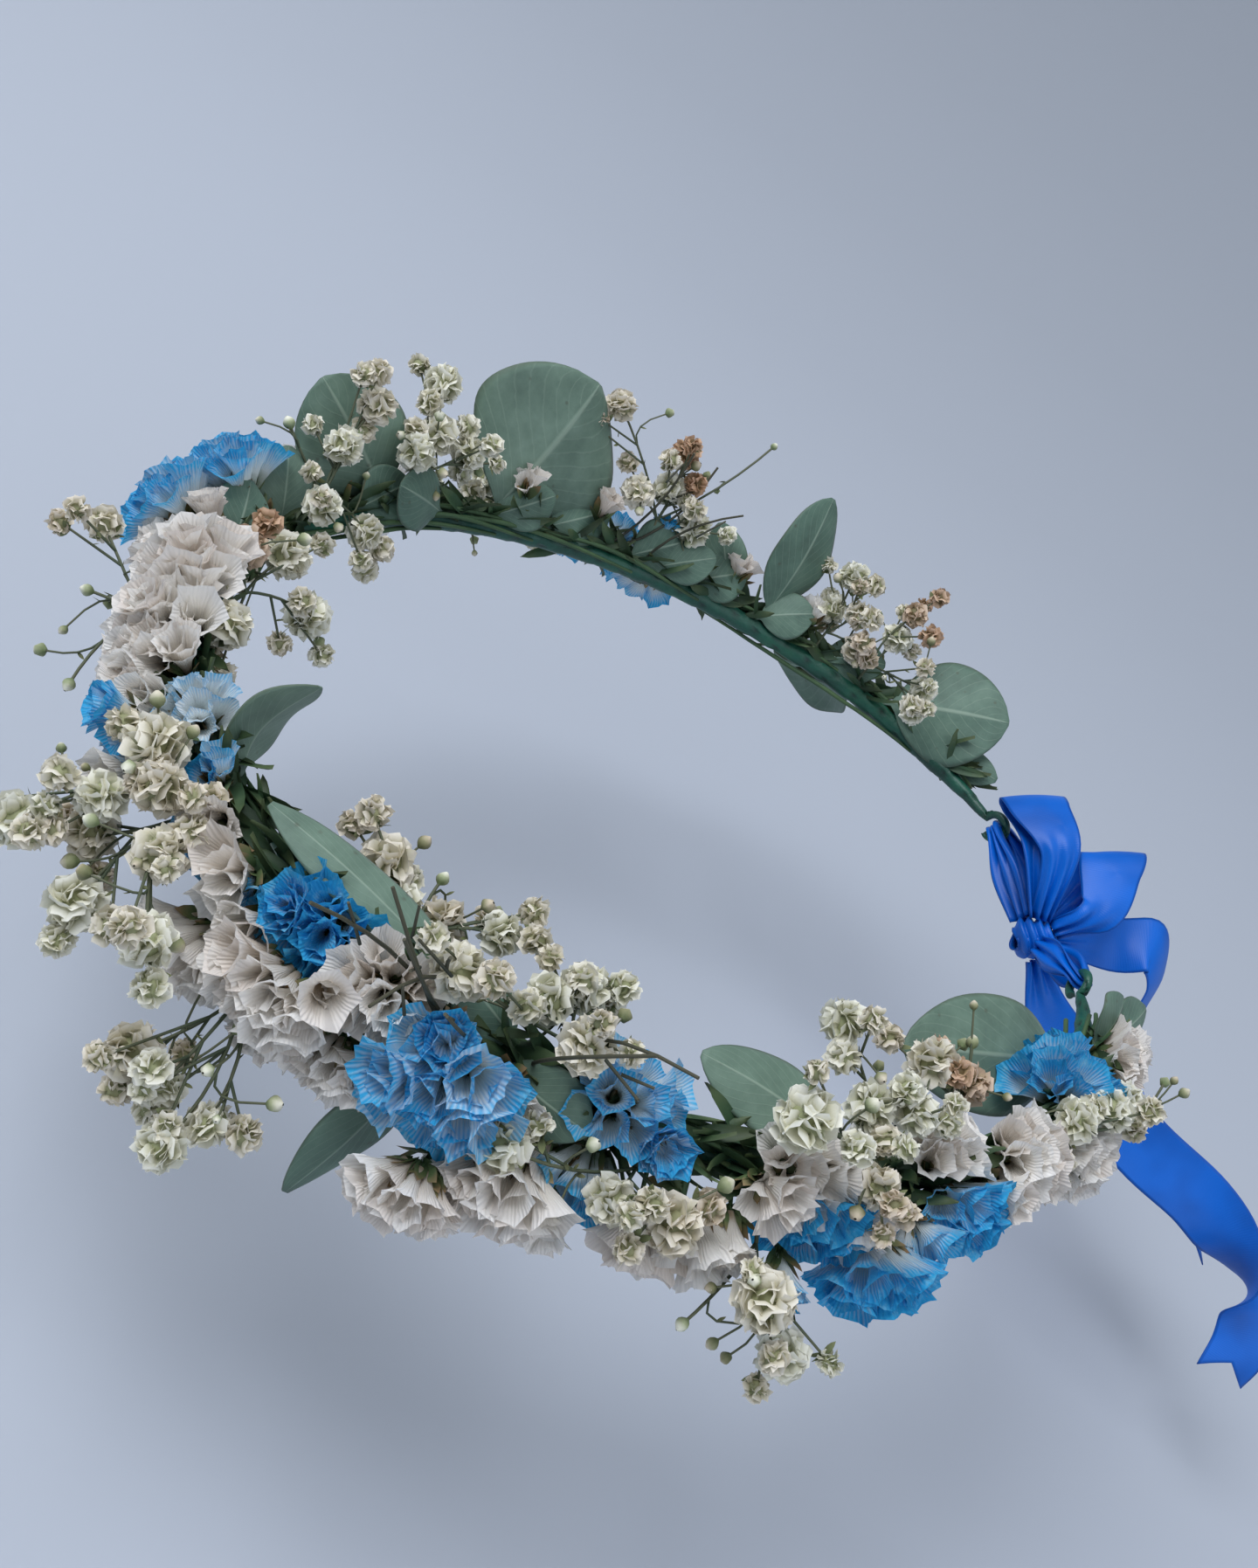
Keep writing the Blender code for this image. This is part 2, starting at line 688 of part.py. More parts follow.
def make_spray(name, foot, heads, collection):
    """A baby's breath sprig: a thin stem that forks to several small round heads."""
    places = [flower_place(deg, out, up) for deg, out, up, _ in heads]
    middle = sum(places, Vector()) / len(places)
    start, lean = foot_of(foot, middle)
    fork = start + lean * (middle - start).length * FORK_SHARE
    shapes = [tube([start, fork], STEM_THICK, STEM_SIDES), ball(fork, FORK_BALL)]
    for place, (_, _, _, size) in zip(places, heads):
        shapes.append(tube([fork, place], TWIG_THICK, TWIG_SIDES))
        shapes.append(ball(place, BREATH_HEAD * size))
    return fuse(name, shapes, collection, "babys_breath")


def knot_place():
    return ring_place(KNOT_DEG, KNOT_OUT, KNOT_UP)


def make_knot(collection):
    """The bow's knot: the ribbon wound tight into a rounded lump."""
    shape = bmesh.new()
    bmesh.ops.create_icosphere(shape, subdivisions=2, radius=KNOT_SIZE / 2)
    shape.transform(axis_matrix(knot_place(), Vector((0, 1, 0))))
    mesh = bpy.data.meshes.new("bow_knot")
    shape.to_mesh(mesh)
    shape.free()
    return link(bpy.data.objects.new("bow_knot", mesh), collection, "blue_satin")


def off_knot(place):
    """The place moved along its line from the knot's middle until it just clears the knot."""
    way = (place - knot_place()).normalized()
    return knot_place() + way * (KNOT_SIZE / 2 + CLEARANCE)


def make_ribbon(name, table, unit, collection, is_loop=False):
    """A ribbon strip that starts at the knot, from its table of rows. A loop comes back to the knot."""
    knot = knot_place()
    stops = [knot + Vector(row[:3]) * unit for row in table]
    stops[0] = off_knot(stops[0])
    if is_loop:
        stops[-1] = off_knot(stops[-1])
    places = smooth_path(stops, STRIP_STEPS)
    sides = smooth_path([Vector(row[4:7]) for row in table], STRIP_STEPS)
    widths = smooth_path([Vector((row[3], 0, 0)) for row in table], STRIP_STEPS)
    rows = []
    for place, side, width, way in zip(places, sides, widths, directions(places)):
        rows.append((place, square_side(side, way), width.x * RIBBON_WIDTH))
    notch = 0.0 if is_loop else NOTCH_SHARE
    return strip(name, rows, collection, "blue_satin", notch)


def make_tie(name, end_deg, toward_knot, collection):
    """The ribbon between the knot and one eye of the wire, doubled through the eye."""
    middle, along, outward = ring_axes(end_deg)
    way = along * toward_knot
    hook = middle + way * EYE_RADIUS * 2
    turn = EYE_RADIUS * EYE_TURN
    knot = knot_place()
    run = knot - hook
    up = Vector((0, 0, 1))
    stops = []
    widths = []
    for share, out, rise, width in TIE_ROWS:
        stops.append(hook + run * share + outward * out * turn + up * rise * RIBBON_WIDTH)
        widths.append(Vector((width, 0, 0)))
    stops.insert(len(TIE_ROWS) // 2, hook - way * turn)
    widths.insert(len(TIE_ROWS) // 2, Vector((EYE_PINCH, 0, 0)))
    stops[0] = off_knot(stops[0])
    stops[-1] = off_knot(stops[-1])
    points = smooth_path(stops, STRIP_STEPS)
    rows = []
    for place, width, course in zip(points, smooth_path(widths, STRIP_STEPS), directions(points)):
        rows.append((place, square_side(up, course), width.x * RIBBON_WIDTH))
    return strip(name, rows, collection, "blue_satin")


def main():
    clear_scene()
    parts = new_collection("floral_crown")
    make_wire_band(parts)
    make_tie("ribbon_tie_near", NEAR_END_DEG, 1, parts)
    make_tie("ribbon_tie_far", FAR_END_DEG, -1, parts)
    make_knot(parts)
    make_ribbon("bow_loop_upper", UPPER_LOOP, LOOP_LENGTH, parts, is_loop=True)
    make_ribbon("bow_loop_side", SIDE_LOOP, LOOP_LENGTH, parts, is_loop=True)
    make_ribbon("ribbon_tail_long", LONG_TAIL, TAIL_LENGTH, parts)
    make_ribbon("ribbon_tail_short", SHORT_TAIL, TAIL_LENGTH, parts)
    for name, leaf in LEAVES.items():
        make_leaf(name, collection=parts, **leaf)
    for name, sprig in STATICE.items():
        make_statice(name, collection=parts, **sprig)
    for name, spray in SPRAYS.items():
        make_spray(name, collection=parts, **spray)


main()
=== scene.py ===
"""Looks of the floral crown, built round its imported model.

Places on the crown are ring places: deg is the angle round the band from the front, 90 at the
wearer's left and 180 at the back. out and up are how far the place lies from the band's middle line,
as shares of FLOWER_REACH.
"""

import math
import random

import bpy
from mathutils import Matrix, Vector, noise


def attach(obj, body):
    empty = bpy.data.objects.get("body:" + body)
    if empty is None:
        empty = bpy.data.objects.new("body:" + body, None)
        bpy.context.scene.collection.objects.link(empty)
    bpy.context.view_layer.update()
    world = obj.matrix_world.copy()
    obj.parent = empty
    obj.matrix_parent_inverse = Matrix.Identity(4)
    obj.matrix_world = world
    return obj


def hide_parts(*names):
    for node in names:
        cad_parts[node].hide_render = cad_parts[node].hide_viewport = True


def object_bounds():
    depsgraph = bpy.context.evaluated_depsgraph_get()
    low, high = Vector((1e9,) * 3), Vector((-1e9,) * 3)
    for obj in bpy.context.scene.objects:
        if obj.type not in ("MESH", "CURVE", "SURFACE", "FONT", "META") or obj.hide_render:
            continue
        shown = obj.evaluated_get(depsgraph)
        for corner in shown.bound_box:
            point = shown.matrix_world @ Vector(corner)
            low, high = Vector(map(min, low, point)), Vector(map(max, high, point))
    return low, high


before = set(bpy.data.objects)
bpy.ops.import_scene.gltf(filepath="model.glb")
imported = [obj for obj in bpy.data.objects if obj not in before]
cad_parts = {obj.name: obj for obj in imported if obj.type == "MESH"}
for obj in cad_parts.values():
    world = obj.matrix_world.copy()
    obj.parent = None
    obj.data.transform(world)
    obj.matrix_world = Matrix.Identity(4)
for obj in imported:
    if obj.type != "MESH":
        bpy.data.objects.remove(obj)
cad_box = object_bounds()

# Sizes shared with the solids, in metres
HEAD_LENGTH = 0.196
HEAD_WIDTH = 0.162
WIRE_THICK = 0.0044
WIRE_END_THICK = 0.0016
EYE_RADIUS = 0.0030
CLEARANCE = 0.0003

FLOWER_REACH = 0.020
LEAF_STALK_WIDTH = 0.0018
FAN_LENGTH = 0.0100
FAN_THROAT = 0.0030
BREATH_HEAD = 0.0082

RIBBON_WIDTH = 0.0150
KNOT_SIZE = 0.0095
TAIL_LENGTH = 0.100
LOOP_LENGTH = 0.034

# Sizes of what only the looks have, in metres
CALYX_MOUTH = 0.0078
CALYX_THROAT = 0.0016
BRACT_LENGTH = 0.0052
BRACT_WIDTH = 0.0021
FLORET_PETAL = 0.0030
BUD_SIZE = 0.0020
GREEN_LENGTH = 0.0130
GREEN_WIDTH = 0.0030
BREATH_STEM = 0.00055
STATICE_STEM = 0.0014
LEAF_WALL = 0.00035
SATIN_WALL = 0.00030
TAPE_PITCH = 0.0075
BOUND_STEM = 0.0011

# Share of its width under which a ribbon shows folds, and how deep its swallow-tail is in widths
GATHERED_BELOW = 0.75
NOTCH_DEEP = 0.45

# Loose calyxes that fill the gaps between the sprigs: ring place, size, and 1 where they are dyed
LOOSE_CALYXES = [
    (346, 0.55, 0.35, 1.0, 0),
    (343, 0.75, 0.05, 0.9, 0),
    (340, 0.45, 0.55, 0.8, 0),
    (358, 0.60, 0.35, 1.0, 0),
    (4, 0.35, 0.45, 0.9, 0),
    (8, 0.55, 0.10, 1.0, 0),
    (10, 0.85, 0.05, 0.9, 1),
    (14, 0.85, -0.35, 0.9, 0),
    (20, 0.35, 0.30, 0.7, 1),
    (24, 0.60, 0.25, 0.9, 0),
    (30, 0.75, 0.15, 1.0, 0),
    (34, 0.80, -0.10, 1.0, 0),
    (36, 0.55, 0.25, 0.8, 1),
    (42, 1.00, 0.05, 1.0, 0),
    (40, 0.75, -0.70, 1.0, 0),
    (49, 0.80, -0.35, 0.9, 0),
    (52, 0.70, 0.45, 0.9, 1),
    (58, 0.65, 0.25, 0.9, 0),
    (64, 0.75, -0.35, 1.0, 0),
    (66, 0.95, -0.60, 0.9, 0),
    (72, 0.50, 0.30, 0.9, 1),
    (73, 0.90, -0.45, 1.0, 0),
    (81, 0.75, -0.30, 0.9, 0),
    (82, 0.60, 0.35, 0.9, 0),
    (86, 0.95, -0.40, 0.9, 1),
    (93, 0.65, 0.10, 0.9, 0),
    (100, 0.70, -0.05, 0.9, 1),
    (110, 0.55, 0.25, 0.9, 0),
    (118, 0.50, 0.20, 0.9, 0),
    (124, 0.45, 0.30, 0.9, 0),
    (136, 0.20, 0.45, 0.9, 1),
    (141, 0.55, 0.15, 0.9, 0),
    (324, 0.70, 0.25, 0.8, 1),
    (328, 0.50, 0.30, 0.9, 0),
    (312, 0.60, 0.05, 0.9, 0),
    (298, 0.60, -0.10, 0.8, 0),
    (286, 0.10, 0.75, 0.7, 0),
    (274, 0.20, 0.70, 0.7, 0),
    (264, 0.35, 0.60, 0.7, 1),
    (252, 0.30, 0.60, 0.7, 0),
    (240, 0.15, 0.65, 0.7, 0),
]

# Bare dark stems between the flowers: the foot's angle, then the tip's angle, out and up, the last two as
# shares of FLOWER_REACH
BARE_TWIGS = [
    (50, 40, 1.20, 1.15),
    (50, 43, 0.80, 1.35),
    (51, 46, 1.00, 1.25),
    (52, 49, 0.70, 1.10),
    (53, 47, 1.35, 0.95),
    (54, 51, 1.00, 0.95),
    (60, 64, 0.90, 1.50),
    (61, 68, 0.75, 1.35),
    (272, 268, 0.00, 1.65),
    (272, 262, 0.40, 1.45),
    (266, 258, -0.20, 1.30),
]

# Leaves too small for a solid of their own, in the same form as LEAVES
SMALL_LEAVES = {
    "small_leaf_01": dict(foot=312, tip=(304, 0.10, 0.40), width=0.012, lift=0.06, face=(-0.6, 0.6, 0.2)),
    "small_leaf_02": dict(foot=281, tip=(272, 0.30, 0.45), width=0.013, lift=0.08, face=(-0.7, 0.6, 0.1)),
    "small_leaf_03": dict(foot=268, tip=(261, 0.15, 0.55), width=0.014, lift=0.06, face=(-0.8, 0.5, 0.1)),
    "small_leaf_04": dict(foot=258, tip=(251, 0.20, 0.50), width=0.013, lift=0.06, face=(-0.7, 0.6, 0.2)),
    "small_leaf_05": dict(foot=213, tip=(203, 0.25, 0.30), width=0.009, lift=0.05, face=(-0.7, 0.6, 0.1)),
    "small_leaf_06": dict(foot=147, tip=(155, 0.10, 0.50), width=0.013, lift=0.08, face=(0.6, 0.7, 0.1)),
    "small_leaf_07": dict(foot=149, tip=(158, 0.50, 0.40), width=0.012, lift=0.06, face=(0.6, 0.7, -0.2)),
    "small_leaf_08": dict(foot=63, tip=(60, 0.70, -1.00), width=0.014, lift=0.06, face=(0.5, 0.6, 0.4)),
    "small_leaf_09": dict(foot=58, tip=(50, 0.05, 0.45), width=0.011, lift=0.05, face=(0.4, 0.8, 0.1)),
    "small_leaf_10": dict(foot=340, tip=(331, 0.35, 0.55), width=0.012, lift=0.06, face=(-0.3, 0.8, 0.2)),
    "small_leaf_11": dict(foot=298, tip=(309, -0.15, 0.55), width=0.014, lift=0.06, face=(-0.7, 0.5, 0.1)),
    "small_leaf_12": dict(foot=236, tip=(227, 0.25, 0.45), width=0.012, lift=0.06, face=(-0.7, 0.6, 0.1)),
    "small_leaf_13": dict(foot=290, tip=(282, 0.05, 0.55), width=0.012, lift=0.06, face=(-0.7, 0.6, 0.2)),
    "small_leaf_14": dict(foot=264, tip=(257, -0.05, 0.60), width=0.011, lift=0.06, face=(-0.7, 0.6, 0.2)),
    "small_leaf_15": dict(foot=247, tip=(240, 0.05, 0.55), width=0.012, lift=0.06, face=(-0.7, 0.6, 0.2)),
}

# How many of each
PETALS_PER_HEAD = 72
SMALL_HEADS_PER_HEAD = 2.2
TWIGS_PER_HEAD = 1.4
GREENS_PER_DEG = 3.6
BRACTS_PER_CALYX = 4
BOUND_STEMS = 9

# The band: where its ends are, how far each end tapers and how far the wire turns in each eye
NEAR_END_DEG = 161
FAR_END_DEG = 199
TAPER_DEG = 12
EYE_SWEEP_DEG = 285

# Leaf blade: how much of the length is bare stalk, and how full the outline is (1 is pointed)
LEAF_STALK_SHARE = 0.10
LEAF_FULLNESS = 0.6

# Where a sprig forks, as a share of the way from its foot to the middle of its flowers
FORK_SHARE = 0.45

EYE_STEPS = 7

# Where the bow's knot sits, as a ring place in metres from the band's middle line
KNOT_DEG = 177
KNOT_OUT = -0.001
KNOT_UP = -0.007

# Leaves: foot is the angle at which the stalk leaves the band and tip is a ring place. width is in
# metres. lift bends the blade off the straight line from foot to tip, as a share of its length. face
# is the way the blade's upper side looks: outwards, upwards and along the band.
LEAVES = {
    "eucalyptus_leaf_01": dict(
        foot=290, tip=(280, 0.70, 1.70), width=0.041, lift=0.04, face=(-0.9, 0.4, 0.1)
    ),
    "eucalyptus_leaf_02": dict(
        foot=306, tip=(314, 0.95, 1.05), width=0.025, lift=0.05, face=(-0.8, 0.5, 0.3)
    ),
    "eucalyptus_leaf_03": dict(
        foot=251, tip=(257, 0.50, 0.80), width=0.011, lift=0.05, face=(-0.9, 0.4, 0.2)
    ),
    "eucalyptus_leaf_04": dict(
        foot=246, tip=(246, 0.65, 1.70), width=0.017, lift=0.06, face=(-0.8, 0.3, -0.4)
    ),
    "eucalyptus_leaf_05": dict(
        foot=224, tip=(208, 0.45, 0.85), width=0.027, lift=0.05, face=(-0.7, 0.6, 0.1)
    ),
    "eucalyptus_leaf_06": dict(
        foot=143, tip=(112, -1.20, 0.10), width=0.023, lift=0.06, face=(0.7, 0.7, 0.0)
    ),
    "eucalyptus_leaf_07": dict(
        foot=93, tip=(75, -0.50, 0.42), width=0.014, lift=0.10, face=(0.5, 0.9, 0.2)
    ),
    "eucalyptus_leaf_08": dict(
        foot=19, tip=(17, -0.45, 0.95), width=0.014, lift=-0.20, face=(-0.4, 0.5, 0.8)
    ),
    "eucalyptus_leaf_09": dict(
        foot=55, tip=(27, 0.20, 0.50), width=0.010, lift=0.05, face=(0.2, 1.0, 0.0)
    ),
    "eucalyptus_leaf_10": dict(
        foot=57, tip=(66, 0.45, 0.15), width=0.011, lift=0.12, face=(0.8, 0.4, 0.0)
    ),
    "eucalyptus_leaf_11": dict(
        foot=51, tip=(49, 0.95, -1.45), width=0.012, lift=0.08, face=(0.3, 0.6, 0.7)
    ),
    "eucalyptus_leaf_12": dict(
        foot=228, tip=(238, 1.00, -0.70), width=0.028, lift=0.06, face=(0.8, 0.6, 0.0)
    ),
    "eucalyptus_leaf_13": dict(
        foot=326, tip=(323, 0.45, 0.70), width=0.011, lift=0.06, face=(-0.6, 0.4, 0.6)
    ),
}

# Statice: foot on the band, then a row for each fan of calyxes: deg, out, up of the fan's mouth,
# its size as a share of a full fan, and the number of calyxes.
STATICE = {
    "white_statice_01": dict(foot=351, fans=[(349, 0.40, 0.70, 1.15, 4), (356, 0.45, 0.50, 1.05, 4)]),
    "white_statice_02": dict(foot=4, fans=[(1, 0.70, 0.10, 0.95, 4), (6, 0.75, -0.05, 0.80, 3)]),
    "white_statice_03": dict(foot=36, fans=[(31, 0.90, -0.75, 0.95, 4), (39, 1.05, -0.25, 1.00, 4)]),
    "white_statice_04": dict(foot=45, fans=[(45, 0.85, -0.50, 0.75, 4), (46, 0.70, 0.40, 0.80, 4)]),
    "white_statice_05": dict(foot=61, fans=[(56, 1.30, -0.70, 0.85, 4), (62, 1.05, -0.50, 1.00, 4)]),
    "white_statice_06": dict(foot=77, fans=[(77, 0.80, -0.60, 1.05, 4)]),
    "white_statice_07": dict(foot=86, fans=[(86, 0.40, 0.45, 0.90, 4)]),
    "white_statice_08": dict(foot=107, fans=[(103, -0.05, 0.50, 0.85, 3), (115, 0.20, 0.40, 0.95, 4)]),
    "white_statice_09": dict(foot=139, fans=[(128, 0.50, 0.00, 0.95, 4), (147, 0.40, 0.30, 0.90, 4)]),
    "white_statice_10": dict(foot=311, fans=[(318, 0.85, -0.20, 1.10, 4), (304, 0.80, -0.30, 1.00, 4)]),
    "blue_statice_01": dict(foot=334, fans=[(330, 0.80, 0.65, 1.00, 3), (338, 1.00, 0.35, 0.95, 3)]),
    "blue_statice_02": dict(foot=12, fans=[(12, 0.70, -0.30, 0.80, 3), (12, 0.30, 0.40, 0.60, 2)]),
    "blue_statice_03": dict(foot=27, fans=[(25, 0.45, -0.15, 0.75, 3), (30, 0.45, -0.20, 0.75, 3)]),
    "blue_statice_04": dict(foot=38, fans=[(38, 0.55, 0.30, 0.90, 4)]),
    "blue_statice_05": dict(foot=53, fans=[(54, 1.05, 0.20, 1.15, 5)]),
    "blue_statice_06": dict(foot=67, fans=[(68, 0.25, 0.50, 0.90, 3)]),
    "blue_statice_07": dict(foot=92, fans=[(89, 0.60, -0.10, 1.00, 4), (96, 0.95, -0.45, 1.05, 4)]),
    "blue_statice_08": dict(foot=104, fans=[(105, 0.60, 0.05, 1.00, 4)]),
    "blue_statice_09": dict(foot=133, fans=[(132, -0.35, 0.50, 1.05, 4)]),
    "blue_statice_10": dict(foot=69, fans=[(68, 0.60, -0.55, 0.95, 3)]),
    "blue_statice_11": dict(foot=266, fans=[(262, 0.90, -0.30, 1.00, 3), (270, 0.80, -0.10, 0.90, 3)]),
}

# Baby's breath: foot on the band, then a row for each head: deg, out, up and its size as a share of
# BREATH_HEAD. Buds are the small ones.
SPRAYS = {
    "babys_breath_01": dict(
        foot=344,
        heads=[
            (341, -0.05, 0.40, 1.00), (333, -0.30, 0.20, 1.10), (335, -0.75, -0.15, 1.05),
            (357, -0.15, 0.35, 1.00),
        ],
    ),
    "babys_breath_02": dict(
        foot=320,
        heads=[
            (315, -0.35, 0.15, 0.90), (327, -0.25, 0.60, 0.90), (317, 0.20, 0.80, 0.95),
            (312, 0.35, 1.15, 0.95), (323, 0.55, 0.90, 0.60),
        ],
    ),
    "babys_breath_03": dict(
        foot=302,
        heads=[
            (300, 0.40, 0.80, 1.10), (299, 0.75, 1.20, 1.00), (306, 0.05, 0.80, 0.95),
            (296, 0.20, 0.75, 0.90),
        ],
    ),
    "babys_breath_04": dict(
        foot=266,
        heads=[
            (276, 0.70, 1.55, 0.90), (270, 0.30, 0.80, 1.00), (266, 0.55, 1.40, 0.80),
            (266, 0.40, 0.95, 0.95), (261, 0.20, 0.70, 1.10), (256, 0.70, 1.90, 0.45),
        ],
    ),
    "babys_breath_05": dict(
        foot=237,
        heads=[
            (238, 0.40, 1.10, 0.90), (238, 0.25, 0.65, 0.90), (235, 0.10, 0.85, 0.80),
            (232, 0.00, 0.50, 0.90),
        ],
    ),
    "babys_breath_06": dict(
        foot=229,
        heads=[
            (228, 0.30, 0.80, 0.90), (228, 0.40, 1.15, 0.75), (220, -0.35, 0.75, 0.80),
            (219, -0.60, 0.55, 0.75),
        ],
    ),
    "babys_breath_07": dict(
        foot=353,
        heads=[
            (346, 1.05, 0.20, 0.80), (352, 0.95, -0.10, 0.55), (2, 0.90, -0.40, 0.55),
        ],
    ),
    "babys_breath_08": dict(
        foot=16,
        heads=[
            (17, 0.65, 0.30, 1.20), (21, 0.75, 0.25, 1.10), (18, 0.95, -0.15, 0.95),
            (15, 1.35, -0.70, 1.00),
        ],
    ),
    "babys_breath_09": dict(
        foot=21,
        heads=[
            (18, 0.90, -0.55, 1.00), (23, 1.15, -0.75, 1.10), (32, 1.35, -0.05, 1.00),
            (26, 0.90, 0.05, 1.00),
        ],
    ),
    "babys_breath_10": dict(
        foot=37,
        heads=[
            (35, 1.35, -0.95, 1.05), (38, 1.35, -1.00, 0.90), (41, 1.55, -1.15, 0.90),
            (42, 1.25, -1.05, 0.80),
        ],
    ),
    "babys_breath_11": dict(
        foot=44,
        heads=[
            (36, -0.58, 0.25, 1.10), (40, -0.52, 0.10, 0.95), (45, -0.60, 0.15, 1.05),
            (42, -0.75, 0.40, 0.55), (51, -0.70, 0.35, 0.85),
        ],
    ),
    "babys_breath_12": dict(
        foot=62,
        heads=[
            (50, 0.30, 0.68, 1.05), (58, -0.20, 0.50, 0.95), (61, -0.50, 0.50, 1.00),
            (62, 0.25, 0.70, 1.05),
        ],
    ),
    "babys_breath_13": dict(foot=71, heads=[(60, 0.80, 0.00, 1.00), (69, 0.80, 0.00, 0.90), (74, 0.85, 0.05, 1.10)]),
    "babys_breath_14": dict(
        foot=84,
        heads=[
            (79, 1.10, -0.70, 0.55), (83, 1.10, -0.20, 1.20), (88, 1.15, -0.75, 1.00),
        ],
    ),
    "babys_breath_15": dict(
        foot=94,
        heads=[
            (81, 0.30, 0.90, 1.20), (90, -0.85, 0.85, 0.95), (92, -0.20, 0.65, 1.00),
            (96, -0.10, 0.75, 0.90), (91, 0.45, 0.50, 0.90),
        ],
    ),
    "babys_breath_16": dict(
        foot=110,
        heads=[
            (108, -0.80, 0.45, 1.10), (115, -0.85, 0.60, 0.60), (113, -0.55, 0.40, 0.90),
        ],
    ),
    "babys_breath_17": dict(
        foot=124,
        heads=[
            (123, 0.15, 0.55, 1.00), (130, 0.30, 0.55, 1.00), (138, 0.40, 0.35, 0.90),
            (142, 0.60, 0.60, 0.55),
        ],
    ),
    "babys_breath_18": dict(
        foot=282,
        heads=[
            (280, 0.90, -0.10, 1.10), (286, 0.80, 0.10, 1.00), (288, 0.85, -0.45, 0.90),
            (276, 0.70, -0.40, 1.00),
        ],
    ),
}

# How far the ribbon is bunched where it enters the knot and where it turns in the wire's eye, as
# shares of RIBBON_WIDTH, and how far that turn reaches from the eye's middle in EYE_RADIUS.
KNOT_PINCH = 0.28
EYE_PINCH = 0.20
EYE_TURN = 0.75

# Ribbon strips. Each row is a place as shares of a named length from the knot (x, y, z), the
# strip's width as a share of RIBBON_WIDTH, and the way its width runs (side_x, side_y, side_z).
UPPER_LOOP = [
    (-0.14, -0.06, 0.28, KNOT_PINCH, 0.2, 0.8, 0.5),
    (-0.42, -0.10, 0.46, 0.60, 0.2, 0.8, 0.5),
    (-0.80, 0.02, 0.46, 0.95, 0.2, 0.8, 0.5),
    (-0.86, -0.02, 0.54, 1.00, 0.2, 0.8, 0.5),
    (-0.66, -0.10, 0.60, 0.95, 0.2, 0.8, 0.5),
    (-0.28, -0.08, 0.56, 0.60, 0.2, 0.8, 0.5),
    (-0.08, -0.05, 0.30, KNOT_PINCH, 0.2, 0.8, 0.5),
]
SIDE_LOOP = [
    (-0.14, 0.20, 0.14, KNOT_PINCH, 0.3, 0.7, 0.5),
    (-0.34, 0.46, 0.30, 0.65, 0.2, 0.8, 0.5),
    (-0.46, 0.52, 0.46, 0.90, 0.2, 0.8, 0.5),
    (-0.40, 0.46, 0.60, 1.00, 0.2, 0.8, 0.5),
    (-0.24, 0.36, 0.58, 0.95, 0.2, 0.8, 0.5),
    (0.04, 0.26, 0.40, 0.65, 0.2, 0.8, 0.5),
    (0.03, 0.14, 0.19, KNOT_PINCH, 0.3, 0.7, 0.5),
]
LONG_TAIL = [
    (0.05, 0.03, -0.05, KNOT_PINCH, 0.5, -0.2, -0.8),
    (0.15, 0.10, -0.12, 0.80, 0.5, -0.3, -0.8),
    (0.38, 0.28, -0.18, 1.00, 0.4, -0.3, -0.9),
    (0.52, 0.44, -0.20, 1.00, 0.4, -0.1, -0.9),
    (0.63, 0.55, -0.25, 1.00, 0.2, 0.5, -0.7),
    (0.70, 0.59, -0.31, 0.95, 0.6, 0.4, -0.6),
    (0.76, 0.60, -0.38, 0.95, 0.6, 0.7, -0.3),
    (0.80, 0.58, -0.46, 0.95, 0.2, 0.9, 0.1),
]
SHORT_TAIL = [
    (0.00, 0.12, 0.02, KNOT_PINCH, -0.5, 0.4, 0.7),
    (-0.01, 0.24, 0.03, 0.80, -0.6, 0.3, 0.7),
    (0.01, 0.33, 0.08, 1.00, -0.6, 0.6, 0.4),
    (0.05, 0.39, 0.01, 1.00, -0.5, 0.8, -0.1),
    (0.12, 0.40, -0.13, 1.00, -0.4, 0.8, -0.4),
    (0.30, 0.50, -0.26, 1.00, -0.3, 0.8, -0.5),
    (0.52, 0.66, -0.38, 0.90, 0.1, 0.8, -0.3),
]

# The tie runs from the knot along the inside, through the wire's eye and back along the outside.
# Rows: share of the way from eye to knot, out in turns of the eye, rise in ribbon widths, width share.
TIE_ROWS = [
    (0.60, -1.2, -0.05, 0.35),
    (0.35, -1.3, 0.00, 0.50),
    (0.00, -1.0, 0.00, EYE_PINCH),
    (0.00, 1.0, 0.00, EYE_PINCH),
    (0.35, 1.4, -0.02, 0.60),
    (0.60, 1.3, -0.05, 0.35),
]

# How far the dye has run down each blue sprig's calyxes, from 0, only the rim, to 1, all of it
DYE = {
    "blue_statice_01": 0.35,
    "blue_statice_02": 0.05,
    "blue_statice_03": 0.30,
    "blue_statice_04": 1.00,
    "blue_statice_05": 0.30,
    "blue_statice_06": 0.30,
    "blue_statice_07": 0.55,
    "blue_statice_08": 0.50,
    "blue_statice_09": 0.50,
    "blue_statice_10": 0.40,
    "blue_statice_11": 0.35,
}


# Small helpers


def linear(code):
    """An sRGB hex colour as a linear one with alpha."""
    shares = [int(code[i : i + 2], 16) / 255 for i in (1, 3, 5)]
    return (*[c / 12.92 if c <= 0.04045 else ((c + 0.055) / 1.055) ** 2.4 for c in shares], 1.0)


def add(tree, kind, wires=None, **settings):
    """Adds a node with its settings. wires maps its inputs to sockets that feed them or to values."""
    made = tree.nodes.new(kind)
    for name, value in settings.items():
        setattr(made, name, value)
    for key, value in (wires or {}).items():
        if isinstance(value, bpy.types.NodeSocket):
            tree.links.new(value, made.inputs[key])
        else:
            made.inputs[key].default_value = value
    return made


def maths(tree, operation, *values):
    """The result of one maths node on sockets or values."""
    return add(tree, "ShaderNodeMath", dict(enumerate(values)), operation=operation).outputs[0]


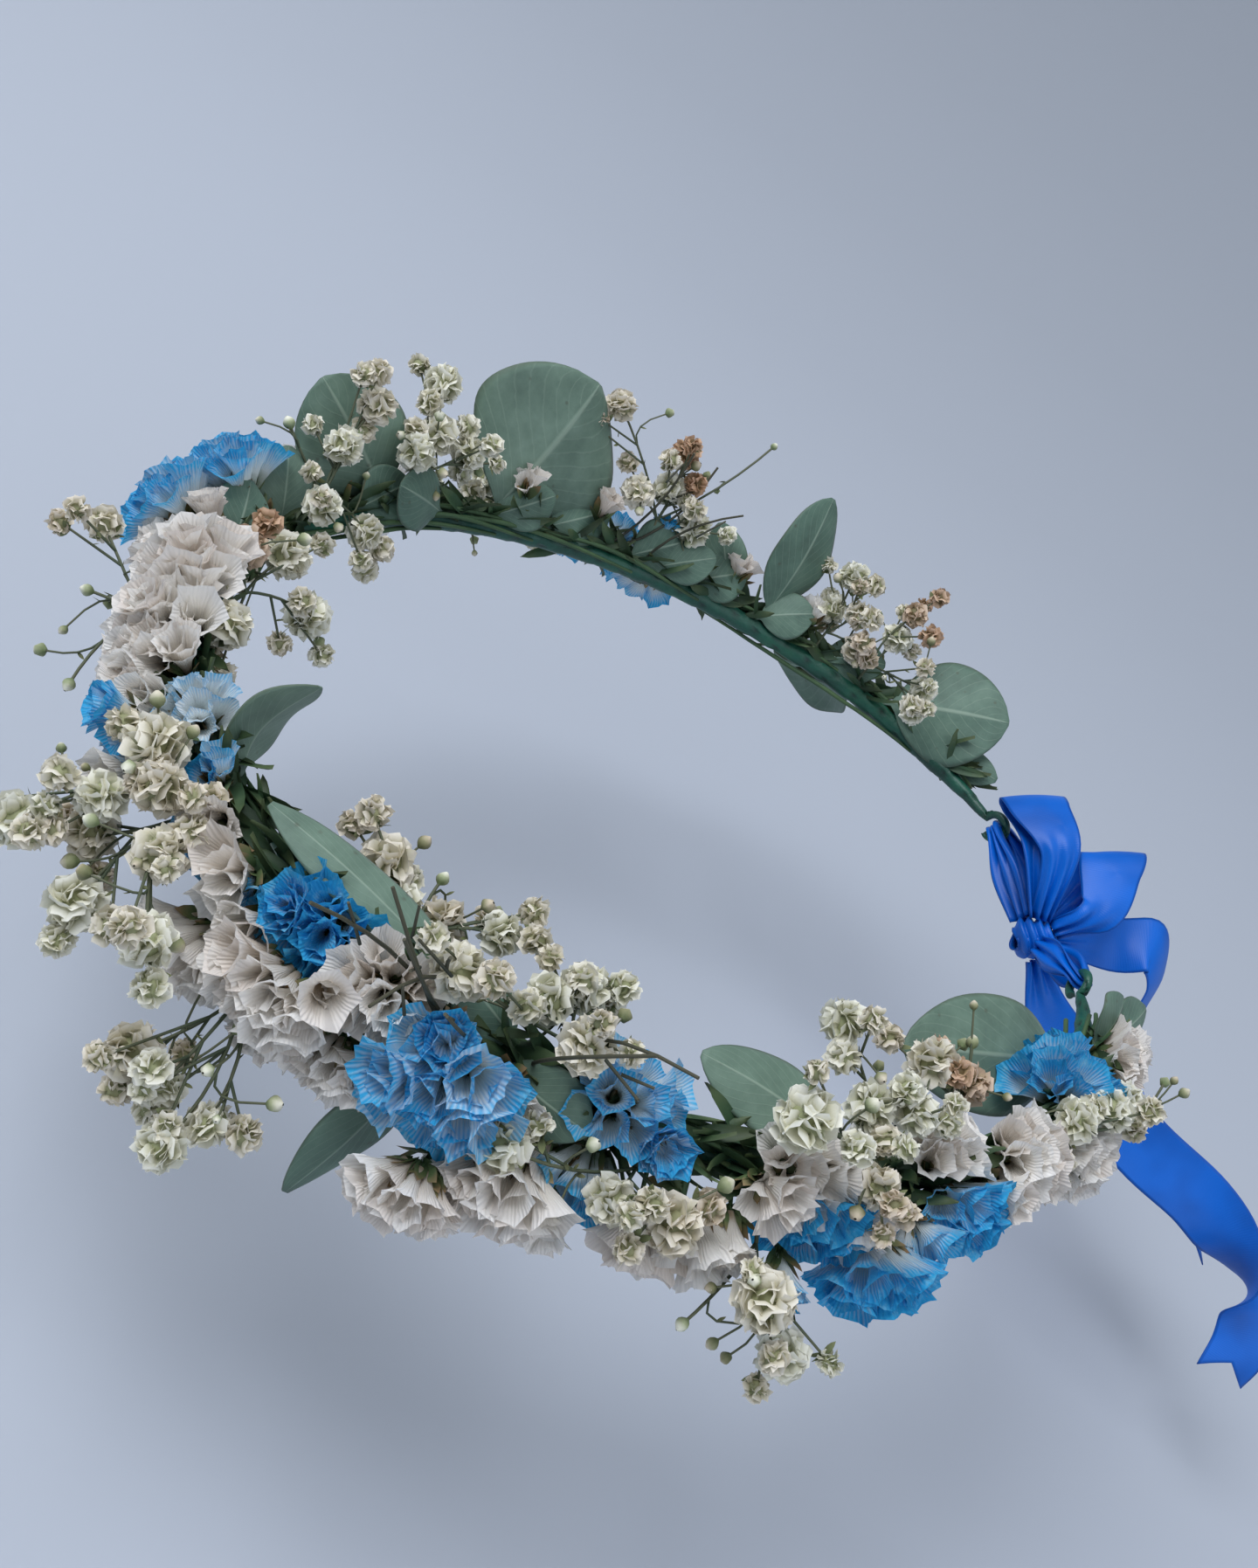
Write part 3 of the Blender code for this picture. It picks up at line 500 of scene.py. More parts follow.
def remap(tree, value, span, shown):
    """A value moved from one span to another and kept inside it."""
    wires = {"Value": value, "From Min": span[0], "From Max": span[1], "To Min": shown[0], "To Max": shown[1]}
    return add(tree, "ShaderNodeMapRange", wires).outputs[0]


def blank_material(name):
    """A material with only its output, and its tree."""
    material = bpy.data.materials.new(name)
    material.use_nodes = True
    material.node_tree.nodes.clear()
    return material, material.node_tree


def ramp(tree, factor, stops):
    """Colours along a factor, from (place, hex) stops."""
    made = add(tree, "ShaderNodeValToRGB", {"Fac": factor})
    line = made.color_ramp
    while len(line.elements) < len(stops):
        line.elements.new(0.5)
    for element, (place, code) in zip(line.elements, stops):
        element.position = place
        element.color = linear(code)
    return made.outputs["Color"]


def blend_colours(tree, share, first, second, kind="MIX"):
    """Two colours mixed by a share."""
    mix = add(tree, "ShaderNodeMix", data_type="RGBA", blend_type=kind)
    for key, value in ((0, share), (6, first), (7, second)):
        if isinstance(value, bpy.types.NodeSocket):
            tree.links.new(value, mix.inputs[key])
        else:
            mix.inputs[key].default_value = value
    return mix.outputs[2]


def link(obj):
    """Puts an object in the scene and gives it back."""
    bpy.context.scene.collection.objects.link(obj)
    return obj


def settle(obj, slot_name, *nodes):
    """Puts a finished piece on the crown's one body in place of its solids."""
    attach(obj, "root")
    if nodes:
        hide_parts(*nodes)
    return obj


def join(name, objects):
    """Makes several mesh objects one."""
    first = objects[0]
    if len(objects) > 1:
        with bpy.context.temp_override(
            active_object=first, object=first, selected_objects=objects, selected_editable_objects=objects
        ):
            bpy.ops.object.join()
    first.name = name
    first.data.name = name
    return first


def jitter(chance, amount):
    """A random offset up to amount in each direction."""
    return Vector([chance.uniform(-amount, amount) for _ in range(3)])


def ring_axes(deg):
    """The band's middle point at an angle, with the directions along it and outwards."""
    angle = math.radians(deg)
    half_width = (HEAD_WIDTH + WIRE_THICK) / 2
    half_length = (HEAD_LENGTH + WIRE_THICK) / 2
    middle = Vector((half_width * math.sin(angle), -half_length * math.cos(angle), 0))
    along = Vector((half_width * math.cos(angle), half_length * math.sin(angle), 0)).normalized()
    outward = Vector((along.y, -along.x, 0))
    return middle, along, outward


def ring_place(deg, out, up):
    """A place on the crown from its angle and its distances from the band, in metres."""
    middle, _, outward = ring_axes(deg)
    return middle + outward * out + Vector((0, 0, up))


def flower_place(deg, out, up):
    """A ring place whose distances are shares of FLOWER_REACH."""
    return ring_place(deg, out * FLOWER_REACH, up * FLOWER_REACH)


def foot_of(deg, target):
    """Where a stem stands on the band, leaning towards its target, and its direction there."""
    middle, along, _ = ring_axes(deg)
    lean = target - middle
    lean -= along * lean.dot(along)
    lean.normalize()
    return middle + lean * (WIRE_THICK / 2 + CLEARANCE), lean


def smooth_path(points, steps):
    """Points on a smooth curve through the given ones, with so many steps between neighbours."""
    ends = [points[0] * 2 - points[1]] + list(points) + [points[-1] * 2 - points[-2]]
    path = []
    for a, b, c, d in zip(ends, ends[1:], ends[2:], ends[3:]):
        for i in range(steps):
            t = i / steps
            path.append(
                0.5 * (2 * b + (c - a) * t + (2 * a - 5 * b + 4 * c - d) * t**2 + (3 * b - a - 3 * c + d) * t**3)
            )
    path.append(points[-1].copy())
    return path


def square_side(side, way):
    """The part of side that is square to way, as a unit direction."""
    return (side - way * side.dot(way)).normalized()


def directions(points):
    """The direction of travel at each point of a path."""
    ways = []
    for i in range(len(points)):
        before = points[max(i - 1, 0)]
        after = points[min(i + 1, len(points) - 1)]
        ways.append((after - before).normalized())
    return ways


def blade_share(u):
    """A round leaf's half width at a share u of its length, from 0 to 1."""
    if u < LEAF_STALK_SHARE:
        return 0.0
    inside = (u - LEAF_STALK_SHARE) / (1 - LEAF_STALK_SHARE)
    return max(0.0, math.sin(math.pi * inside)) ** LEAF_FULLNESS


def knot_place():
    return ring_place(KNOT_DEG, KNOT_OUT, KNOT_UP)


def off_knot(place):
    """The place moved along its line from the knot's middle until it just clears the knot."""
    way = (place - knot_place()).normalized()
    return knot_place() + way * (KNOT_SIZE / 2 + CLEARANCE)



# Materials


def crepe_tape():
    """Floral tape: waxed crepe paper wound in a spiral, dark green, with fine creases and painted shade in the
    groove where each turn laps the last.
    """
    material, tree = blank_material("waxed_crepe_floral_tape")
    where = add(tree, "ShaderNodeTexCoord").outputs["Object"]
    edge = add(tree, "ShaderNodeAttribute", attribute_name="tape_edge").outputs["Fac"]
    crease = add(tree, "ShaderNodeTexNoise", {"Vector": where, "Scale": 900.0, "Detail": 4.0})
    patch = add(tree, "ShaderNodeTexNoise", {"Vector": where, "Scale": 90.0, "Detail": 3.0})
    colour = ramp(tree, patch.outputs["Fac"], [(0.3, "#0c3a2c"), (0.55, "#12513f"), (0.8, "#2a6a4c")])
    # Painted shade: near-black green in the groove beside each lap's step
    colour = blend_colours(tree, edge, colour, linear("#06231b"))
    height = add(tree, "ShaderNodeMath", {0: crease.outputs["Fac"], 1: edge}, operation="SUBTRACT")
    bump = add(tree, "ShaderNodeBump", {"Strength": 0.6, "Distance": 0.0004, "Height": height.outputs[0]})
    surface = add(
        tree,
        "ShaderNodeBsdfPrincipled",
        {"Base Color": colour, "Roughness": 0.50, "Normal": bump.outputs[0], "Coat Weight": 0.12},
    )
    add(tree, "ShaderNodeOutputMaterial", {"Surface": surface.outputs[0]})
    return material


def leaf_blade():
    """Preserved eucalyptus: matte grey-green with a waxy bloom, a pale midrib and fine side veins, and painted shade
    from its tint that mixes in a darker copy of its colours.
    """
    material, tree = blank_material("preserved_eucalyptus_leaf")
    where = add(tree, "ShaderNodeTexCoord").outputs["Object"]
    side = add(tree, "ShaderNodeAttribute", attribute_name="side").outputs["Fac"]
    run = add(tree, "ShaderNodeAttribute", attribute_name="run").outputs["Fac"]
    tint = add(tree, "ShaderNodeAttribute", attribute_name="tint").outputs["Fac"]
    cloud = add(tree, "ShaderNodeTexNoise", {"Vector": where, "Scale": 110.0, "Detail": 6.0, "Roughness": 0.62})
    fine = add(tree, "ShaderNodeTexNoise", {"Vector": where, "Scale": 700.0, "Detail": 3.0})
    pale = ramp(tree, cloud.outputs["Fac"], [(0.25, "#566e5e"), (0.5, "#6c8472"), (0.75, "#809886")])
    dark = ramp(tree, cloud.outputs["Fac"], [(0.25, "#3f584a"), (0.5, "#52705f"), (0.75, "#66826f")])
    # Painted shade: tint mixes the leaf towards the darker copy of its colours
    colour = blend_colours(tree, tint, pale, dark)
    far = maths(tree, "ABSOLUTE", side)
    slant = maths(tree, "MULTIPLY_ADD", far, -0.42, run)
    wobble = add(tree, "ShaderNodeMath", {0: cloud.outputs["Fac"], 1: 0.08, 2: slant}, operation="MULTIPLY_ADD")
    wave = add(tree, "ShaderNodeMath", {0: wobble.outputs[0], 1: 62.0}, operation="MULTIPLY")
    wave = add(tree, "ShaderNodeMath", {0: wave.outputs[0]}, operation="SINE")
    vein = remap(tree, wave.outputs[0], (0.90, 1.0), (0.0, 0.16))
    rib = remap(tree, far, (0.015, 0.05), (0.55, 0.0))
    lines = maths(tree, "MAXIMUM", vein, rib)
    colour = blend_colours(tree, lines, colour, linear("#9db09c"))
    rim = remap(tree, far, (0.93, 1.0), (0.0, 0.6))
    colour = blend_colours(tree, rim, colour, linear("#4c5a44"))
    spots = add(tree, "ShaderNodeTexVoronoi", {"Vector": where, "Scale": 210.0, "Randomness": 1.0})
    speck = remap(tree, spots.outputs["Distance"], (0.05, 0.12), (0.5, 0.0))
    colour = blend_colours(tree, speck, colour, linear("#4a4a38"))
    height = add(tree, "ShaderNodeMath", {0: fine.outputs["Fac"], 1: 0.4, 2: lines}, operation="MULTIPLY_ADD")
    bump = add(tree, "ShaderNodeBump", {"Strength": 0.5, "Distance": 0.00025, "Height": height.outputs[0]})
    surface = add(
        tree,
        "ShaderNodeBsdfPrincipled",
        {
            "Base Color": colour,
            "Roughness": 0.58,
            "Normal": bump.outputs[0],
            "Sheen Weight": 0.12,
            "Sheen Roughness": 0.5,
        },
    )
    through = add(tree, "ShaderNodeBsdfTranslucent", {"Color": colour})
    both = add(tree, "ShaderNodeMixShader", {0: 0.10, 1: surface.outputs[0], 2: through.outputs[0]})
    add(tree, "ShaderNodeOutputMaterial", {"Surface": both.outputs[0]})
    return material


def calyx_paper(name, throat, body, rim_colour, dyed=None):
    """Dried statice calyx: thin papery tissue, pleated, light through it, browner towards the throat."""
    material, tree = blank_material(name)
    where = add(tree, "ShaderNodeTexCoord").outputs["Object"]
    rim = add(tree, "ShaderNodeAttribute", attribute_name="rim").outputs["Fac"]
    tint = add(tree, "ShaderNodeAttribute", attribute_name="tint").outputs["Fac"]
    around = add(tree, "ShaderNodeAttribute", attribute_name="around").outputs["Fac"]
    blot = add(tree, "ShaderNodeTexNoise", {"Vector": where, "Scale": 420.0, "Detail": 5.0, "Roughness": 0.65})
    pleat = maths(tree, "MULTIPLY", around, 34.0 * math.tau)
    pleat = maths(tree, "SINE", pleat)
    place = add(tree, "ShaderNodeMath", {0: blot.outputs["Fac"], 1: 0.45, 2: rim}, operation="MULTIPLY_ADD")
    place = maths(tree, "SUBTRACT", place.outputs[0], 0.22)
    colour = ramp(tree, place, [(0.05, throat), (0.35, body), (0.95, rim_colour)])
    if dyed is None:
        warm = maths(tree, "MULTIPLY", tint, 0.45)
        colour = blend_colours(tree, warm, colour, linear("#e2cfc0"), "MULTIPLY")
    else:
        start = maths(tree, "MULTIPLY_ADD", tint, -0.85, 0.80)
        reach = maths(tree, "SUBTRACT", place, start)
        reach = maths(tree, "MULTIPLY_ADD", pleat, 0.10, reach)
        share = remap(tree, reach, (-0.04, 0.50), (0.0, 1.0))
        dye = ramp(tree, blot.outputs["Fac"], [(0.30, dyed[0]), (0.55, dyed[1]), (0.8, dyed[2])])
        colour = blend_colours(tree, share, colour, dye)
    height = add(tree, "ShaderNodeMath", {0: pleat, 1: 0.5, 2: blot.outputs["Fac"]}, operation="MULTIPLY_ADD")
    bump = add(tree, "ShaderNodeBump", {"Strength": 0.5, "Distance": 0.0003, "Height": height.outputs[0]})
    surface = add(
        tree,
        "ShaderNodeBsdfPrincipled",
        {"Base Color": colour, "Roughness": 0.72, "Normal": bump.outputs[0], "Sheen Weight": 0.15},
    )
    through = add(tree, "ShaderNodeBsdfTranslucent", {"Color": colour})
    both = add(tree, "ShaderNodeMixShader", {0: 0.35, 1: surface.outputs[0], 2: through.outputs[0]})
    add(tree, "ShaderNodeOutputMaterial", {"Surface": both.outputs[0]})
    return material


def plant_tissue(name, stops, warm, roughness=0.7, scale=500.0, through_share=0.0):
    """Dried plant tissue coloured along its length, with blotches and a share of warmer, browner bits."""
    material, tree = blank_material(name)
    where = add(tree, "ShaderNodeTexCoord").outputs["Object"]
    rim = add(tree, "ShaderNodeAttribute", attribute_name="rim").outputs["Fac"]
    tint = add(tree, "ShaderNodeAttribute", attribute_name="tint").outputs["Fac"]
    blot = add(tree, "ShaderNodeTexNoise", {"Vector": where, "Scale": scale, "Detail": 4.0, "Roughness": 0.6})
    place = add(tree, "ShaderNodeMath", {0: blot.outputs["Fac"], 1: 0.5, 2: rim}, operation="MULTIPLY_ADD")
    place = maths(tree, "SUBTRACT", place.outputs[0], 0.25)
    colour = blend_colours(tree, tint, ramp(tree, place, stops), linear(warm), "MULTIPLY")
    bump = add(tree, "ShaderNodeBump", {"Strength": 0.5, "Distance": 0.0003, "Height": blot.outputs["Fac"]})
    surface = add(
        tree,
        "ShaderNodeBsdfPrincipled",
        {"Base Color": colour, "Roughness": roughness, "Normal": bump.outputs[0]},
    )
    shown = surface.outputs[0]
    if through_share:
        through = add(tree, "ShaderNodeBsdfTranslucent", {"Color": colour})
        shown = add(tree, "ShaderNodeMixShader", {0: through_share, 1: shown, 2: through.outputs[0]}).outputs[0]
    add(tree, "ShaderNodeOutputMaterial", {"Surface": shown})
    return material


def satin():
    """Polyester satin: royal blue, long floats that gloss along the ribbon, a dense woven edge."""
    material, tree = blank_material("woven_satin_ribbon")
    side = add(tree, "ShaderNodeAttribute", attribute_name="side").outputs["Fac"]
    run = add(tree, "ShaderNodeAttribute", attribute_name="run").outputs["Fac"]
    where = add(tree, "ShaderNodeTexCoord").outputs["Object"]
    soft = add(tree, "ShaderNodeTexNoise", {"Vector": where, "Scale": 60.0, "Detail": 2.0})
    # The real threads are 0.15 mm apart. They are drawn 0.5 mm apart, the finest that shows.
    threads = maths(tree, "MULTIPLY", run, math.tau * 2000.0)
    threads = maths(tree, "SINE", threads)
    far = maths(tree, "ABSOLUTE", side)
    edge = remap(tree, far, (0.90, 0.94), (0.0, 0.45))
    colour = ramp(tree, soft.outputs["Fac"], [(0.3, "#0050a8"), (0.6, "#0063c8")])
    colour = blend_colours(tree, edge, colour, linear("#003a86"))
    height = maths(tree, "MULTIPLY_ADD", threads, 0.25, edge)
    bump = add(tree, "ShaderNodeBump", {"Strength": 0.15, "Distance": 0.0002, "Height": height})
    surface = add(
        tree,
        "ShaderNodeBsdfPrincipled",
        {
            "Base Color": colour,
            "Roughness": 0.38,
            "Specular IOR Level": 0.3,
            "Normal": bump.outputs[0],
            "Sheen Weight": 0.20,
            "Sheen Tint": linear("#0a86ff"),
            "Sheen Roughness": 0.35,
            "Anisotropic": 0.5,
        },
    )
    add(tree, "ShaderNodeOutputMaterial", {"Surface": surface.outputs[0]})
    return material


def plain_floor():
    """Smooth painted board, pale and cool, with no gloss."""
    material, tree = blank_material("pale_painted_floor")
    surface = add(tree, "ShaderNodeBsdfPrincipled", {"Base Color": linear("#b0b6bf"), "Roughness": 0.75})
    add(tree, "ShaderNodeOutputMaterial", {"Surface": surface.outputs[0]})
    return material


# Geometry node trees


def new_tree(name, sockets):
    """A geometry tree with named inputs and one geometry output, and the two ends of it."""
    tree = bpy.data.node_groups.new(name, "GeometryNodeTree")
    tree.interface.new_socket(name="Geometry", in_out="INPUT", socket_type="NodeSocketGeometry")
    tree.interface.new_socket(name="Geometry", in_out="OUTPUT", socket_type="NodeSocketGeometry")
    for socket_name, kind in sockets:
        tree.interface.new_socket(name=socket_name, in_out="INPUT", socket_type=kind)
    return tree, add(tree, "NodeGroupInput").outputs


def named(tree, name, kind="FLOAT"):
    """A named attribute's output."""
    return add(tree, "GeometryNodeInputNamedAttribute", {"Name": name}, data_type=kind).outputs[0]


def petals_tree():
    """Sets a shape out on points, each by its own way, spin and size, then frills the rims."""
    sockets = [
        ("Shape", "NodeSocketObject"),
        ("Frill Depth", "NodeSocketFloat"),
        ("Frill Size", "NodeSocketFloat"),
        ("Material", "NodeSocketMaterial"),
    ]
    tree, given = new_tree("petals_on_points", sockets)
    facing = add(
        tree,
        "FunctionNodeAlignRotationToVector",
        {"Vector": named(tree, "way", "FLOAT_VECTOR")},
        axis="Z",
    )
    spin = add(
        tree,
        "FunctionNodeAxisAngleToRotation",
        {"Axis": (0.0, 0.0, 1.0), "Angle": named(tree, "spin")},
    )
    turned = add(
        tree,
        "FunctionNodeRotateRotation",
        {"Rotation": facing.outputs[0], "Rotate By": spin.outputs[0]},
        rotation_space="LOCAL",
    )
    shape = add(tree, "GeometryNodeObjectInfo", {"Object": given["Shape"]})
    placed = add(
        tree,
        "GeometryNodeInstanceOnPoints",
        {
            "Points": given["Geometry"],
            "Instance": shape.outputs["Geometry"],
            "Rotation": turned.outputs[0],
            "Scale": named(tree, "size"),
        },
    )
    real = add(tree, "GeometryNodeRealizeInstances", {"Geometry": placed.outputs[0]})
    place = add(tree, "GeometryNodeInputPosition")
    grain = add(tree, "ShaderNodeMath", {0: 1.0, 1: given["Frill Size"]}, operation="DIVIDE")
    wave = add(
        tree,
        "ShaderNodeTexNoise",
        {"Vector": place.outputs[0], "Scale": grain.outputs[0], "Detail": 3.0},
    )
    centred = add(tree, "ShaderNodeVectorMath", {0: wave.outputs["Color"], 1: (0.5, 0.5, 0.5)}, operation="SUBTRACT")
    rim = named(tree, "rim")
    squared = add(tree, "ShaderNodeMath", {0: rim, 1: rim}, operation="MULTIPLY")
    depth = add(tree, "ShaderNodeMath", {0: squared.outputs[0], 1: given["Frill Depth"]}, operation="MULTIPLY")
    push = add(tree, "ShaderNodeVectorMath", {0: centred.outputs[0], "Scale": depth.outputs[0]}, operation="SCALE")
    frilled = add(tree, "GeometryNodeSetPosition", {"Geometry": real.outputs[0], "Offset": push.outputs[0]})
    smooth = add(tree, "GeometryNodeSetShadeSmooth", {"Geometry": frilled.outputs[0]})
    painted = add(tree, "GeometryNodeSetMaterial", {"Geometry": smooth.outputs[0], "Material": given["Material"]})
    add(tree, "NodeGroupOutput", {"Geometry": painted.outputs[0]})
    return tree


def stems_tree():
    """Turns lines of points into stems, as thick at each point as the points say."""
    tree, given = new_tree("stems_on_lines", [("Sides", "NodeSocketInt"), ("Material", "NodeSocketMaterial")])
    line = add(tree, "GeometryNodeMeshToCurve", {"Mesh": given["Geometry"]})
    ring = add(tree, "GeometryNodeCurvePrimitiveCircle", {"Resolution": given["Sides"], "Radius": 0.5})
    skin = add(
        tree,
        "GeometryNodeCurveToMesh",
        {
            "Curve": line.outputs[0],
            "Profile Curve": ring.outputs[0],
            "Scale": named(tree, "thick"),
            "Fill Caps": True,
        },
    )
    smooth = add(tree, "GeometryNodeSetShadeSmooth", {"Geometry": skin.outputs[0]})
    real = add(tree, "GeometryNodeRealizeInstances", {"Geometry": smooth.outputs[0]})
    painted = add(tree, "GeometryNodeSetMaterial", {"Geometry": real.outputs[0], "Material": given["Material"]})
    add(tree, "NodeGroupOutput", {"Geometry": painted.outputs[0]})
    return tree


def tape_tree():
    """Skins the wire's line and winds tape round it: each turn laps the last and leaves a small step, and the groove
    beside each step is marked for the painted shade that the tape's material puts there.
    """
    sockets = [
        ("Sides", "NodeSocketInt"),
        ("Pitch", "NodeSocketFloat"),
        ("Step", "NodeSocketFloat"),
        ("Material", "NodeSocketMaterial"),
    ]
    tree, given = new_tree("tape_wound_wire", sockets)
    line = add(tree, "GeometryNodeMeshToCurve", {"Mesh": given["Geometry"]})
    along = add(tree, "GeometryNodeSplineParameter")
    run = add(
        tree,
        "GeometryNodeStoreNamedAttribute",
        {"Geometry": line.outputs[0], "Name": "wire_run", "Value": along.outputs["Length"]},
        domain="POINT",
    )
    ring = add(tree, "GeometryNodeCurvePrimitiveCircle", {"Resolution": given["Sides"], "Radius": 0.5})
    factor = add(tree, "GeometryNodeSplineParameter").outputs["Factor"]
    turn = add(
        tree,
        "GeometryNodeStoreNamedAttribute",
        {"Geometry": ring.outputs[0], "Name": "tape_turn", "Value": factor},
        domain="POINT",
    )
    skin = add(
        tree,
        "GeometryNodeCurveToMesh",
        {
            "Curve": run.outputs[0],
            "Profile Curve": turn.outputs[0],
            "Scale": named(tree, "thick"),
            "Fill Caps": True,
        },
    )
    turns = add(tree, "ShaderNodeMath", {0: named(tree, "wire_run"), 1: given["Pitch"]}, operation="DIVIDE")
    wound = add(tree, "ShaderNodeMath", {0: turns.outputs[0], 1: named(tree, "tape_turn")}, operation="ADD")
    lap = add(tree, "ShaderNodeMath", {0: wound.outputs[0]}, operation="FRACT")
    # The groove just below each lap's step, which the bump sinks and the material darkens as painted shade
    edge = remap(tree, lap.outputs[0], (0.0, 0.14), (1.0, 0.0))
    marked = add(
        tree,
        "GeometryNodeStoreNamedAttribute",
        {"Geometry": skin.outputs[0], "Name": "tape_edge", "Value": edge},
        domain="POINT",
    )
    lift = add(tree, "ShaderNodeMath", {0: lap.outputs[0], 1: given["Step"]}, operation="MULTIPLY")
    facing = add(tree, "GeometryNodeInputNormal")
    push = add(tree, "ShaderNodeVectorMath", {0: facing.outputs[0], "Scale": lift.outputs[0]}, operation="SCALE")
    raised = add(tree, "GeometryNodeSetPosition", {"Geometry": marked.outputs[0], "Offset": push.outputs[0]})
    smooth = add(tree, "GeometryNodeSetShadeSmooth", {"Geometry": raised.outputs[0]})
    real = add(tree, "GeometryNodeRealizeInstances", {"Geometry": smooth.outputs[0]})
    painted = add(tree, "GeometryNodeSetMaterial", {"Geometry": real.outputs[0], "Material": given["Material"]})
    add(tree, "NodeGroupOutput", {"Geometry": painted.outputs[0]})
    return tree


def grow(name, mesh, tree, **inputs):
    """Runs a tree on a mesh and gives the result as a plain mesh object. Spaces in names are _."""
    carrier = link(bpy.data.objects.new(name, mesh))
    modifier = carrier.modifiers.new("grow", "NODES")
    modifier.node_group = tree
    for item in tree.interface.items_tree:
        value = inputs.get(item.name.replace(" ", "_"))
        if item.in_out == "INPUT" and value is not None:
            modifier[item.identifier] = value
    evaluated = carrier.evaluated_get(bpy.context.evaluated_depsgraph_get())
    grown = bpy.data.meshes.new_from_object(evaluated)
    for i in reversed(range(len(grown.materials))):
        if grown.materials[i] is None:
            grown.materials.pop(index=i)
    bpy.data.objects.remove(carrier)
    return link(bpy.data.objects.new(name, grown))


def point_mesh(name, rows):
    """Points with a way, a spin, a size and a tint each."""
    mesh = bpy.data.meshes.new(name + "_points")
    mesh.from_pydata([row[0] for row in rows], [], [])
    ways = mesh.attributes.new("way", "FLOAT_VECTOR", "POINT")
    ways.data.foreach_set("vector", [value for row in rows for value in row[1]])
    for i, label in ((2, "spin"), (3, "size"), (4, "tint")):
        values = mesh.attributes.new(label, "FLOAT", "POINT")
        values.data.foreach_set("value", [row[i] for row in rows])
    return mesh


def line_mesh(name, lines):
    """Lines of points, each a list of (place, thickness, rim), as edges with those values."""
    mesh = bpy.data.meshes.new(name + "_lines")
    places, edges, thick, rims = [], [], [], []
    for line in lines:
        first = len(places)
        for i, (place, width, rim) in enumerate(line):
            places.append(place)
            thick.append(width)
            rims.append(rim)
            if i:
                edges.append((first + i - 1, first + i))
    mesh.from_pydata(places, edges, [])
    mesh.attributes.new("thick", "FLOAT", "POINT").data.foreach_set("value", thick)
    mesh.attributes.new("rim", "FLOAT", "POINT").data.foreach_set("value", rims)
    return mesh


# Shapes that are repeated


def sheet_shape(name, rows, columns, place, closed=False):
    """A small sheet of faces: place(u, v) gives each corner, u along and v across or around, 0 to 1."""
    mesh = bpy.data.meshes.new(name)
    wide = columns if closed else columns + 1
    corners, rims, turns = [], [], []
    for i in range(rows + 1):
        for j in range(wide):
            corners.append(place(i / rows, j / columns))
            rims.append(i / rows)
            turns.append(j / columns)
    faces = []
    for i in range(rows):
        for j in range(columns):
            k = (j + 1) % wide
            faces.append((i * wide + j, i * wide + k, (i + 1) * wide + k, (i + 1) * wide + j))
    mesh.from_pydata(corners, [], faces)
    mesh.attributes.new("rim", "FLOAT", "POINT").data.foreach_set("value", rims)
    mesh.attributes.new("around", "FLOAT", "POINT").data.foreach_set("value", turns)
    return bpy.data.objects.new(name, mesh)


def calyx_shape():
    """One papery calyx: a pleated funnel with five shallow lobes and a rim that rolls out. Length 1."""

    def place(u, v):
        turn = math.tau * v
        lobe = 0.5 + 0.5 * math.cos(5 * turn)
        wide = CALYX_THROAT + (CALYX_MOUTH - CALYX_THROAT) * u**1.5
        wide *= 1 + 0.16 * u * (lobe - 0.5) + 0.06 * u * math.cos(10 * turn)
        high = FAN_LENGTH * (u - 0.10 * u**4 + 0.07 * u**3 * lobe)
        return (wide / 2 * math.cos(turn), wide / 2 * math.sin(turn), high)

    return sheet_shape("calyx_shape", 5, 20, place, closed=True)


def petal_shape():
    """One petal of a double floret: narrow foot, wide crinkled tip that curls back."""

    def place(u, v):
        across = (v - 0.5) * FLORET_PETAL * (0.35 + 0.75 * math.sin(math.pi * (0.15 + 0.65 * u)))
        high = FLORET_PETAL * (u - 0.25 * u**3)
        back = FLORET_PETAL * (0.28 * u**2 + 0.5 * (v - 0.5) ** 2)
        return (across, back, high)

    return sheet_shape("floret_petal_shape", 3, 2, place)


def bract_shape():
    """One pointed bract, folded along its middle."""

    def place(u, v):
        across = (v - 0.5) * BRACT_WIDTH * math.sin(math.pi * min(1.0, 0.12 + 0.88 * u)) ** 0.8
        fold = abs(v - 0.5) * BRACT_WIDTH * 0.5 * (1 - u)
        return (across, fold + BRACT_LENGTH * 0.15 * u**2, BRACT_LENGTH * u)

    return sheet_shape("bract_shape", 4, 2, place)


def green_shape():
    """One narrow green leaf, folded along its middle and arching back."""

    def place(u, v):
        across = (v - 0.5) * GREEN_WIDTH * math.sin(math.pi * min(1.0, 0.06 + 0.94 * u)) ** 0.7
        fold = abs(v - 0.5) * GREEN_WIDTH * 0.5
        return (across, fold - GREEN_LENGTH * 0.18 * u**2, GREEN_LENGTH * u)

    return sheet_shape("green_shape", 6, 2, place)


def bud_shape():
    """One closed bud: an egg with five sepals pressed round it and a nearly closed tip."""

    def place(u, v):
        turn = math.tau * v
        wide = BUD_SIZE * math.sin(math.pi * (0.04 + 0.93 * u)) ** 0.75
        wide *= 1 + 0.10 * math.cos(5 * turn)
        return (wide / 2 * math.cos(turn), wide / 2 * math.sin(turn), BUD_SIZE * 1.15 * u)

    return sheet_shape("bud_shape", 5, 10, place, closed=True)


def core_shape():
    """The shaded inside of a floret, which shows only between its petals. 1 mm across."""

    def place(u, v):
        high = math.cos(math.pi * u)
        wide = math.sin(math.pi * min(max(u, 0.02), 0.98))
        return (0.0005 * wide * math.cos(math.tau * v), 0.0005 * wide * math.sin(math.tau * v), -0.0005 * high)

    return sheet_shape("floret_core_shape", 5, 8, place, closed=True)


# Flowers


